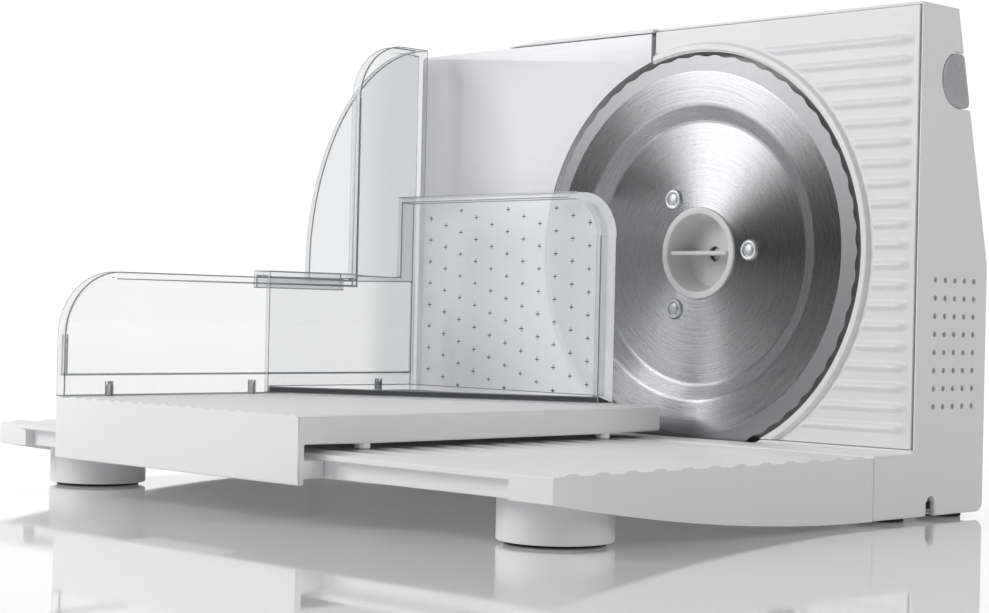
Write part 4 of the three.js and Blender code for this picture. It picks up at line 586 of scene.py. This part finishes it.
BLADE_R = 85.0
TOOTH_COUNT = 52
TOOTH_DEPTH = 0.8
TOOTH_STEPS = 12
BEVEL_R = 78.0
BLADE_SHEET = 1.2
HEEL_DEPTH = 0.55
# Front profile from the bevel's inner edge to the bore: radius, depth behind the cutting edge, bend radius.
BLADE_BENDS = [(BEVEL_R, -0.9, 0), (77.6, -0.875, 0), (63.7, 0.0, 4.0), (57.0, 4.2, 4.0), (18.6, 4.2, 0)]
# Rings of the bevel, as shares of the way in from the edge; the back takes every third ring of the front.
BEVEL_RINGS = (0, 0.4, 0.8, 0.96)
BACK_STRIDE = 3


def rounded(corners, steps=6):
    """A line through corners (u, v, r) in which each corner is an arc of radius r with that many steps."""
    spots = np.array([c[:2] for c in corners], float)
    line = []
    for i, (u, v, r) in enumerate(corners):
        if r == 0:
            line.append((u, v))
            continue
        back = spots[i - 1] - spots[i]
        fore = spots[i + 1] - spots[i]
        back /= np.linalg.norm(back)
        fore /= np.linalg.norm(fore)
        half = math.acos(np.clip(back @ fore, -1, 1)) / 2
        middle = spots[i] + (back + fore) / np.linalg.norm(back + fore) * r / math.sin(half)
        first = spots[i] + back * r / math.tan(half) - middle
        last = spots[i] + fore * r / math.tan(half) - middle
        sweep = math.pi - 2 * half
        for k in range(steps + 1):
            a = sweep * k / steps
            line.append(middle + (math.sin(sweep - a) * first + math.sin(a) * last) / math.sin(sweep))
    return np.array(line, float)


def blade():
    """A profile turned about the blade's axis. Its edge is a ring of n shallow teeth,
    r = R - d (1 - cos(n a)) / 2, on the cone of the ground bevel, y = h (R - r) / (R - B)."""
    angle = np.linspace(0, 2 * np.pi, TOOTH_COUNT * TOOTH_STEPS, endpoint=False)
    edge = BLADE_R - TOOTH_DEPTH * (1 - np.cos(TOOTH_COUNT * angle)) / 2
    line = rounded(BLADE_BENDS)
    t = np.array(BEVEL_RINGS)[:, None]
    bevel_r = edge + t * (BEVEL_R - edge)
    bevel_y = line[0, 1] * (BLADE_R - bevel_r) / (BLADE_R - BEVEL_R)
    inner_r = np.repeat(line[:, :1], angle.size, 1)
    inner_y = np.repeat(line[:, 1:], angle.size, 1)
    back_r = inner_r[::-1][::BACK_STRIDE]
    back_y = inner_y[::-1][::BACK_STRIDE] + BLADE_SHEET
    r = np.concatenate([bevel_r, inner_r, back_r, np.full((1, angle.size), BEVEL_R)])
    y = np.concatenate([bevel_y, inner_y, back_y, np.full((1, angle.size), HEEL_DEPTH)])
    points = np.stack([r * np.cos(angle), y, BLADE_AXIS_Z + r * np.sin(angle)], -1)
    return points.reshape(-1, 3), web(*r.shape, round_rows=True, round_columns=True)


# Stainless steel brushed in circles: lines of uneven depth, 0.3 mm apart, that turn round the blade's axis.
IN_WORLD = {"vector_type": "VECTOR", "convert_from": "OBJECT", "convert_to": "WORLD"}
LINE_DRIFT = 0.02
blade_steel, tree, place = shader("circular_brushed_stainless")
hub = add(tree, "VectorMath", {"operation": "SUBTRACT"}, Vector=place, Vector_001=axle)
flat = add(tree, "VectorMath", {"operation": "MULTIPLY"}, Vector=hub, Vector_001=(1, 0, 1))
radius = add(tree, "VectorMath", {"operation": "LENGTH"}, "Value", Vector=flat)
drift = add(tree, "VectorMath", {"operation": "SCALE"}, Vector=flat, Scale=LINE_DRIFT)
groove = add(tree, "VectorMath", {"operation": "ADD"}, Vector=add(tree, "CombineXYZ", X=radius),
             Vector_001=drift)
lines = add(tree, "TexNoise", Vector=groove, Scale=1000 / 0.3, Detail=3)
face = add(tree, "BsdfPrincipled", Metallic=1.0, Anisotropic=0.95,
           Base_Color=add(tree, "MixRGB", Fac=lines, Color1=srgb("#9e9ea0"), Color2=srgb("#aeaeb0")),
           Roughness=add(tree, "MapRange", Value=lines, To_Min=0.24, To_Max=0.31, **NOISE),
           Tangent=add(tree, "VectorTransform", IN_WORLD, Vector=flat),
           Normal=add(tree, "Bump", Height=lines, Distance=0.0008 / 1000))
add(tree, "OutputMaterial", Surface=face)

# The bevel is ground: a little darker than the brushed sheet, with an even, duller shine.
bevel_steel, tree, place = shader("ground_stainless_bevel")
grind = add(tree, "TexNoise", Vector=place, Scale=1000 / 0.4, Detail=3)
face = add(tree, "BsdfPrincipled", Metallic=1.0,
           Base_Color=add(tree, "MixRGB", Fac=grind, Color1=srgb("#949496"), Color2=srgb("#9e9ea0")),
           Roughness=add(tree, "MapRange", Value=grind, To_Min=0.46, To_Max=0.54, **NOISE),
           Normal=add(tree, "Bump", Height=grind, Distance=0.002 / 1000))
add(tree, "OutputMaterial", Surface=face)

disc = solid("blade_disc", *blade())
finish(disc, blade_steel, "blade", "brushed_steel", "blade")
disc.data.materials.append(bevel_steel)
for face in disc.data.polygons:
    out = 1000 * math.hypot(face.center.x - axle[0], face.center.z - axle[2])
    face.material_index = int(out > BEVEL_R)


def turned(line, place, sides, axis="Y"):
    """A profile of (radius, height) points turned about a line along X, Y or Z through a place (U, V) on the
    two other axes: u = U + r cos a, v = V + r sin a."""
    line = np.asarray(line, float)
    angle = np.linspace(0, 2 * np.pi, sides, endpoint=False)
    r = line[:, :1]
    height = np.repeat(line[:, 1:], sides, 1)
    flat = [place[0] + r * np.cos(angle), place[1] + r * np.sin(angle)]
    flat.insert("XYZ".index(axis), height)
    return np.stack(flat, -1).reshape(-1, 3), web(len(line), sides, round_columns=True)


RIVET_CIRCLE_R = 27.5
RIVET_START = math.radians(2)
RIVET_R = 4.6
RIVET_COUNT = 3
# Profile of a rivet's head with its round groove: radius, depth behind the cutting edge, bend radius.
RIVET_LINE = rounded([(0, 3.15, 0), (1.9, 3.3, 1.5), (2.5, 3.75, 0.3), (3.1, 3.2, 0.3), (4.0, 3.15, 0.5),
                      (RIVET_R, 4.0, 0.2), (RIVET_R, 4.3, 0), (0, 4.3, 0)], steps=4)
for i in range(RIVET_COUNT):
    a = RIVET_START + 2 * math.pi * i / RIVET_COUNT
    middle = (RIVET_CIRCLE_R * math.cos(a), BLADE_AXIS_Z + RIVET_CIRCLE_R * math.sin(a))
    rivet = solid(f"rivet_head_{i + 1}", *turned(RIVET_LINE, middle, sides=48))
    finish(rivet, plated_steel, "blade", "brushed_steel", f"blade_rivet_{i + 1}")


# Blade cap
# A cup of grey ABS in the middle of the blade, moulded with a bar across it to grip. It sits on the spindle,
# and a quarter turn frees the blade.

CAP_R = 19.9
CAP_RIM = 3.0
CAP_FRONT = 3.1
CAP_FLOOR = 15.1
CAP_END = 16.5
CAP_TAPER = 2.5
CAP_LIP = (1.2, 1.6)
CAP_NECK_R = 17.6
CAP_HOLE_R = 3.25
GRIP_THICK = 1.7
GRIP_SET = 0.5
GRIP_SINK = (0.6, 0.2)
BAR_CUT = 0.3

# Light grey ABS: satin, fine grain.
grey_abs = moulded("light_grey_abs", ("#dadadb", "#e2e2e3"), shade=20, gloss=(0.34, 0.44), sheen=2,
                   grain=0.4, depth=0.012)


def bar(spans):
    """A box between spans ((x0, x1), (y0, y1), (z0, z1)), with chamfers at both ends along Z: four rings."""
    low, high = np.array(spans, float).T
    rings = []
    for cut, z in ((BAR_CUT, low[2]), (0, low[2] + BAR_CUT), (0, high[2] - BAR_CUT), (BAR_CUT, high[2])):
        rings.append([(low[0] + cut, low[1] + cut, z), (high[0] - cut, low[1] + cut, z),
                      (high[0] - cut, high[1] - cut, z), (low[0] + cut, high[1] - cut, z)])
    points = np.array(rings).reshape(-1, 3)
    return points, [*web(4, 4, round_columns=True), (0, 1, 2, 3), (15, 14, 13, 12)]


cap_line = rounded([(CAP_HOLE_R, CAP_END, 0), (CAP_HOLE_R, CAP_FLOOR, 0.3),
                    (CAP_R - CAP_RIM - CAP_TAPER, CAP_FLOOR, 0.8), (CAP_R - CAP_RIM, CAP_FRONT, 0.7),
                    (CAP_R, CAP_FRONT, 0.6), (CAP_R, CAP_FRONT + CAP_LIP[0], 0),
                    (CAP_NECK_R, CAP_FRONT + CAP_LIP[1], 0), (CAP_NECK_R, CAP_END, 0.4),
                    (CAP_HOLE_R, CAP_END, 0)], steps=5)
grip_half = CAP_R - CAP_RIM - CAP_TAPER + GRIP_SINK[0]
grip = bar(((-grip_half, grip_half), (CAP_FRONT + GRIP_SET, CAP_FLOOR + GRIP_SINK[1]),
            (BLADE_AXIS_Z - GRIP_THICK / 2, BLADE_AXIS_Z + GRIP_THICK / 2)))
cap = solid("cap_cup", *together(turned(cap_line, (0, BLADE_AXIS_Z), sides=128), grip))
finish(cap, grey_abs, "cap", "grey_plastic", "blade_cap")


# Push button
# A D-shaped button at the rear edge of the right side, moulded of grey ABS with a slight dome. A steel spring
# behind it holds it off the switch.

# Mid-grey ABS: smoother than the body.
button_abs = moulded("mid_grey_abs", ("#b6b6b9", "#c0c0c3"), shade=12, gloss=(0.26, 0.34), sheen=2,
                     grain=0.5, depth=0.008)

BUTTON_Y = 27.3
BUTTON_Z = 175.6
BUTTON_R = 10.8
BUTTON_REAR = ((37.2, BUTTON_Z - BUTTON_R), (32.0, BUTTON_Z + BUTTON_R))
BUTTON_CORNER_R = 2.2
BUTTON_ARC_STEPS = 40
# Rings of the button's crown: share of the outline, distance from the blade's axis to the right.
BUTTON_CROWN = [(0.96, 108.5), (1, 108.9), (1, 112.0), (0.985, 112.45), (0.94, 112.8), (0.84, 113.03),
                (0.66, 113.18), (0.36, 113.27), (0, 113.3)]
STEM_Y = 21.0
STEM_R = 5.0
STEM_SPAN = (99.5, 109.0)
STEM_CUT = 0.4
bend = np.linspace(np.pi / 2, 1.5 * np.pi, BUTTON_ARC_STEPS)
button_arc = np.stack([BUTTON_Y + BUTTON_R * np.cos(bend), BUTTON_Z + BUTTON_R * np.sin(bend)], 1)
button_rear = rounded([(*button_arc[-1], 0), *[(*spot, BUTTON_CORNER_R) for spot in BUTTON_REAR],
                       (*button_arc[0], 0)])
stem = turned([(0, STEM_SPAN[0]), (STEM_R - STEM_CUT, STEM_SPAN[0]), (STEM_R, STEM_SPAN[0] + STEM_CUT),
               (STEM_R, STEM_SPAN[1]), (0, STEM_SPAN[1])], (STEM_Y, BUTTON_Z), sides=40, axis="X")
button_outline = np.concatenate([button_arc, button_rear[1:-1]])
button_middle = button_outline.mean(0)
share, x = np.array(BUTTON_CROWN).T[:, :, None, None]
rings = button_middle + share * (button_outline - button_middle)
crown = np.concatenate([np.broadcast_to(x, (*rings.shape[:2], 1)), rings], -1)
crown_faces = [*web(*crown.shape[:2], round_columns=True), range(crown.shape[1])[::-1]]
button = solid("button_crowned", *together((crown.reshape(-1, 3), crown_faces), stem))
finish(button, button_abs, "button", "button_plastic", "switch_button")


# Stop plate
# The thickness plate: a white ABS carrier faced with a thin brushed stainless sheet, on two steel guide rods.
# A fluted grey dial at the back drives it.

# Stainless sheet brushed along its length: lines 50 mm long and 0.25 mm wide.
sheet_steel, tree, place = shader("straight_brushed_stainless")
lengthwise = add(tree, "Mapping", Vector=place, Scale=(0.005, 1.0, 1.0))
streaks = add(tree, "TexNoise", Vector=lengthwise, Scale=1000 / 0.25, Detail=3)
face = add(tree, "BsdfPrincipled", Metallic=1.0, Anisotropic=0.4,
           Base_Color=add(tree, "MixRGB", Fac=streaks, Color1=srgb("#cdcdcf"), Color2=srgb("#d7d7d9")),
           Roughness=add(tree, "MapRange", Value=streaks, To_Min=0.6, To_Max=0.66, **NOISE),
           Tangent=add(tree, "VectorTransform", IN_WORLD, Vector=(0, 0, 1)),
           Normal=add(tree, "Bump", Height=streaks, Distance=0.002 / 1000))
add(tree, "OutputMaterial", Surface=face)

STOP_LEFT = -173.0
STOP_RIGHT = -25.8
STOP_TOP = 202.3
STOP_BOTTOM = 28.0
STOP_CORNER_R = 2
STOP_SHEET = 0.8
STOP_ARC_R = 87.6
STOP_ARC_STEPS = 140
SHEET_EDGE = 0.15
SHEET_EDGE_STEPS = 3
CARRIER_EDGE = 0.3
MITRE_LEAST = 0.2


def plate(outline):
    """A sheet with an anticlockwise outline (x, z) whose edges are quarter rounds: at depth e (1 - cos a)
    from either face the outline lies e (1 - sin a) further in, along the mitre of its corners."""
    ahead = np.roll(outline, -1, 0) - outline
    ahead /= np.linalg.norm(ahead, axis=1)[:, None]
    left = np.stack([-ahead[:, 1], ahead[:, 0]], 1)
    sums = left + np.roll(left, 1, 0)
    inward = sums / np.maximum((sums * np.roll(left, 1, 0)).sum(1), MITRE_LEAST)[:, None]
    a = np.linspace(0, np.pi / 2, SHEET_EDGE_STEPS + 1)
    inset, depth = SHEET_EDGE * (1 - np.sin(a)), SHEET_EDGE * (1 - np.cos(a))
    rings = outline + inward * np.concatenate([inset, inset[::-1]])[:, None, None]
    rows, columns = rings.shape[:2]
    y = np.repeat(np.concatenate([depth, STOP_SHEET - depth[::-1]])[:, None], columns, 1)
    points = np.stack([rings[:, :, 0], y, rings[:, :, 1]], -1)
    lids = [np.arange(columns)[::-1], (rows - 1) * columns + np.arange(columns)]
    return points.reshape(-1, 3), [*web(rows, columns, round_columns=True), *lids]


start = math.asin((STOP_BOTTOM - BLADE_AXIS_Z) / STOP_ARC_R)
sweep = np.linspace(math.pi - start, math.pi - math.acos(-STOP_RIGHT / STOP_ARC_R), STOP_ARC_STEPS)
arc = np.stack([STOP_ARC_R * np.cos(sweep), BLADE_AXIS_Z + STOP_ARC_R * np.sin(sweep)], 1)
sides = rounded([(STOP_RIGHT, STOP_TOP, 0), (STOP_LEFT, STOP_TOP, STOP_CORNER_R),
                 (STOP_LEFT, STOP_BOTTOM, STOP_CORNER_R), (*arc[0], 0)])
sheet = solid("stop_facing_sheet", *plate(np.concatenate([arc, sides[:-1]])))
finish(sheet, sheet_steel, "stop", "brushed_steel", "stop_plate_facing")
carrier = softened("stop_carrier_body", merged("stop_plate_carrier"), CARRIER_EDGE)
finish(carrier, white_abs, "stop", "white_plastic", "stop_plate_carrier")

DIAL_PLACE = (-14.0, 26.0)
DIAL_R = 20.0
DIAL_SPAN = (52.9, 68.9)
DIAL_FLANGE = 4.0
DIAL_CUT = 0.5
FLUTE_COUNT = 12
FLUTE_STEPS = 24
FLUTE_R = 3.0
SHAFT_R = 4.3
SHAFT_END = 64.9
# Rings of the grip: inset, distance from the flange for the first and from the rear end for the others.
# Rings of the dish: radius, distance from the rear end.
GRIP_FOOT = (0.3, 0.2)
GRIP_RINGS = [(0.3, 1.6), (0.6, 0.7), (1.3, 0.2), (2.2, 0.05)]
DISH_RINGS = [(14.5, 0.05), (14.0, 0.6), (0, 0.6)]


def knob():
    """A turned knob whose grip is fluted: where a round cutter of radius f at distance c from the axis
    reaches the ray at angle d from its middle, the radius is c cos d - sqrt(f^2 - c^2 sin^2 d)."""
    angle = np.linspace(0, 2 * np.pi, FLUTE_COUNT * FLUTE_STEPS, endpoint=False)
    reach = DIAL_R + FLUTE_R / 2
    step = 2 * np.pi / FLUTE_COUNT
    off = angle - np.round(angle / step) * step
    depth = np.maximum(FLUTE_R ** 2 - (reach * np.sin(off)) ** 2, 0)
    flute = np.where(depth > 0, np.minimum(reach * np.cos(off) - np.sqrt(depth), DIAL_R), DIAL_R)
    low, high = DIAL_SPAN
    step_y = low + DIAL_FLANGE
    flange = [(SHAFT_R, SHAFT_END), (SHAFT_R, low), (DIAL_R - DIAL_CUT, low), (DIAL_R, low + DIAL_CUT),
              (DIAL_R, step_y - DIAL_CUT), (DIAL_R - DIAL_CUT, step_y)]
    grip = [(GRIP_FOOT[0], step_y + GRIP_FOOT[1]), *[(inset, high - drop) for inset, drop in GRIP_RINGS]]
    dish = [*[(spot, high - drop) for spot, drop in DISH_RINGS], (0, SHAFT_END)]
    round_rings = [[np.full_like(angle, spot) for spot, _ in rings] for rings in (flange, dish)]
    r = np.array([*round_rings[0], *[flute - inset for inset, _ in grip], *round_rings[1]])
    y = np.repeat([[height] for _, height in (*flange, *grip, *dish)], angle.size, 1)
    points = np.stack([DIAL_PLACE[0] + r * np.cos(angle), y, DIAL_PLACE[1] + r * np.sin(angle)], -1)
    return points.reshape(-1, 3), web(*r.shape, round_rows=True, round_columns=True)


POINTER_HALF = 0.8
POINTER_RISE = 1.2
POINTER_REACH = (4, 13.4)
pointer = bar(((DIAL_PLACE[0] - POINTER_HALF, DIAL_PLACE[0] + POINTER_HALF),
               (DIAL_SPAN[1] - POINTER_RISE, DIAL_SPAN[1]),
               (DIAL_PLACE[1] + POINTER_REACH[0], DIAL_PLACE[1] + POINTER_REACH[1])))
dial = solid("dial_fluted", *together(knob(), pointer))
finish(dial, grey_abs, "dial", "grey_plastic", "dial_knob")


# Table
# A ribbed tray in front of the body, moulded of white ABS, on two round feet. Its front edge has a lip over
# the carriage track.

TABLE_EDGE = 0.5
TABLE_SHORTEST = 20.0
table = softened("table_tray", merged("slide_table"), TABLE_EDGE, TABLE_SHORTEST)
finish(table, white_abs, "housing", "white_plastic", "slide_table")

FOOT_R = 20.5
FOOT_LIFT = 1.0
FOOT_TOP = 22.9
FOOT_RIM = 2.6
PAD_DEPTH = 3.3
FOOT_Y = -171.0
FOOT_X = {"right": 83.0, "left": -191.5}
FOOT_LINE = rounded([(0, PAD_DEPTH, 0), (FOOT_R - FOOT_RIM, PAD_DEPTH, 0.2),
                     (FOOT_R - FOOT_RIM, FOOT_LIFT, 0.3), (FOOT_R, FOOT_LIFT, 0.7), (FOOT_R, FOOT_TOP, 0),
                     (0, FOOT_TOP, 0)], steps=4)
for name, x in FOOT_X.items():
    foot = solid(f"table_foot_{name}_turned", *turned(FOOT_LINE, (x, FOOT_Y), sides=128, axis="Z"))
    finish(foot, white_abs, "housing", "white_plastic", f"table_foot_{name}")


# Carriage
# A ribbed white ABS deck that slides on the table, with a deep front skirt, and a clear wall screwed to its
# left side that rises to an arch with a hand guard.

DECK_EDGE = 0.6
DECK_SHORTEST = 12.0
deck = softened("carriage_deck_body", merged("carriage_deck"), DECK_EDGE, DECK_SHORTEST)
finish(deck, white_abs, "carriage", "white_plastic", "carriage_deck")

# Clear styrene acrylonitrile: polished, faintly grey through its thickness, with slight moulding waves. Over
# the arch it turns greyer towards its rear edge: painted shade that stands in for the shading of its curve.
ARCH_SHADE_SPAN = (-52.0, -34.0)
CLEAR_TINT_AND_SHADE = (0.09, 0.15)
clear_san, tree, place = shader("clear_san")
low, high = (float(shift((0, y, 0))[1]) for y in ARCH_SHADE_SPAN)
# The grey tint rises over the arch towards its rear edge: painted shade.
tint_and_arch_shade = add(tree, "MapRange", SMOOTH, Value=add(tree, "SeparateXYZ", out="Y", Vector=place),
           From_Min=low, From_Max=high, To_Min=CLEAR_TINT_AND_SHADE[0], To_Max=CLEAR_TINT_AND_SHADE[1])
shade = add(tree, "TexNoise", Vector=place, Scale=1000 / 40)
patches = add(tree, "TexNoise", Vector=place, Scale=1000 / 8)
waves = add(tree, "TexNoise", Vector=place, Scale=1000 / 25, Detail=1)
face = add(tree, "BsdfPrincipled", Alpha=tint_and_arch_shade, IOR=1.5,
           Base_Color=add(tree, "MixRGB", Fac=shade, Color1=srgb("#78828e"), Color2=srgb("#848d98")),
           Roughness=add(tree, "MapRange", Value=patches, To_Min=0.0, To_Max=0.04, **NOISE),
           Normal=add(tree, "Bump", Height=waves, Distance=0.01 / 1000))
add(tree, "OutputMaterial", Surface=face)

# The narrow rims of the clear mouldings keep the tool's fine grain and look paler.
rim_san = moulded("clear_san_grained_rim", ("#dfe1e3", "#e9ebec"), shade=6, gloss=(0.3, 0.42), sheen=1.5,
                  grain=0.5, depth=0.01, Alpha=0.4, Transmission_Weight=0.5, IOR=1.25)

# Their rounded edges bend the light away and look grey.
edge_san = moulded("clear_san_rounded_edge", ("#7e8184", "#8e9194"), shade=6, gloss=(0.12, 0.2), sheen=1.5,
                   grain=0.5, depth=0.01, Transmission_Weight=0.35, IOR=1.4)

RIM_WIDTH = 11.0
WALL_EDGE = 0.5
CLEAR_SHORTEST = 2.0
wall_piece = softened("carriage_wall_clear", merged("carriage_wall"), WALL_EDGE, CLEAR_SHORTEST, RIM_WIDTH)
finish(wall_piece, clear_san, "carriage", "clear_plastic", "carriage_wall")
for material in (rim_san, edge_san):
    wall_piece.data.materials.append(material)

# The bores for its screws are polished like its sides. Each lies within a gap, in metres, about its screw.
BORE_GAP = 0.0006
WALL_SCREWS = [f"wall_screw_{i}" for i in (1, 2, 3)]
for screw in WALL_SCREWS:
    low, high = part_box(screw)
    for face in wall_piece.data.polygons:
        if all(low[k] - BORE_GAP < face.center[k] < high[k] + BORE_GAP for k in range(3)):
            face.material_index = 0

# Three white-lacquered steel screws hold the wall: a smooth, slightly uneven coat.
lacquer = moulded("white_lacquered_steel", ("#f0f0f1", "#f6f6f7"), shade=3, gloss=(0.26, 0.36), sheen=1,
                  grain=0.8, depth=0.01)
paint(lacquer, *WALL_SCREWS)


# Food holder
# A pusher moulded of clear styrene acrylonitrile that hooks over the carriage wall, with rows of small spikes
# that keep the food from turning.

# The spiked side of the plate is frosted by the tool's texture: it veils what lies behind it. It also glows,
# more towards the blade: painted light that lifts it out of the shade that the clear panes cast on it.
GLOW_SPAN = (-155.0, -40.0)
GLOW = (0.2, 0.6)
frosted_san, tree, place = shader("clear_san_frosted")
low, high = (float(shift((x, 0, 0))[0]) for x in GLOW_SPAN)
painted_glow = add(tree, "MapRange", Value=add(tree, "SeparateXYZ", out="X", Vector=place),
           From_Min=low, From_Max=high, To_Min=GLOW[0], To_Max=GLOW[1])
shade = add(tree, "TexNoise", Vector=place, Scale=1000 / 30)
patches = add(tree, "TexNoise", Vector=place, Scale=1000 / 1)
frost = add(tree, "TexNoise", Vector=place, Scale=1000 / 0.5)
# Its emission is painted light, rising towards the blade.
face = add(tree, "BsdfPrincipled", Alpha=0.5, IOR=1.4, Emission_Color=srgb("#ffffff"), Emission_Strength=painted_glow,
           Base_Color=add(tree, "MixRGB", Fac=shade, Color1=srgb("#eeeff0"), Color2=srgb("#f6f7f8")),
           Roughness=add(tree, "MapRange", Value=patches, To_Min=0.4, To_Max=0.5, **NOISE),
           Normal=add(tree, "Bump", Height=frost, Distance=0.02 / 1000))
add(tree, "OutputMaterial", Surface=face)

# The low front rim of its floor reflects the dark gap below it.
dark_san = moulded("clear_san_shaded_rim", ("#454648", "#545557"), shade=6, gloss=(0.12, 0.2), sheen=1.5,
                   grain=0.5, depth=0.01, IOR=1.5)

HOLDER_EDGE = 0.4
holder_piece = softened("food_holder_clear", merged("food_holder"), HOLDER_EDGE, CLEAR_SHORTEST, RIM_WIDTH)
finish(holder_piece, clear_san, "holder", "clear_plastic", "food_holder")
for material in (rim_san, edge_san, frosted_san, dark_san):
    holder_piece.data.materials.append(material)

# Rims below the first height are shaded; the spikes and the broad faces towards the blade are frosted.
FLOOR_RIM_TOP = 0.0445
SPIKE_ROOT = float(shift((0, -19.9, 0))[1])
FACING_LEAST = 0.9
BROAD, RIM, FROSTED, SHADED = 0, 1, 3, 4
for face in holder_piece.data.polygons:
    if face.material_index == RIM and face.center.z < FLOOR_RIM_TOP:
        face.material_index = SHADED
    elif face.center.y > SPIKE_ROOT or (face.material_index == BROAD and face.normal.y > FACING_LEAST):
        face.material_index = FROSTED
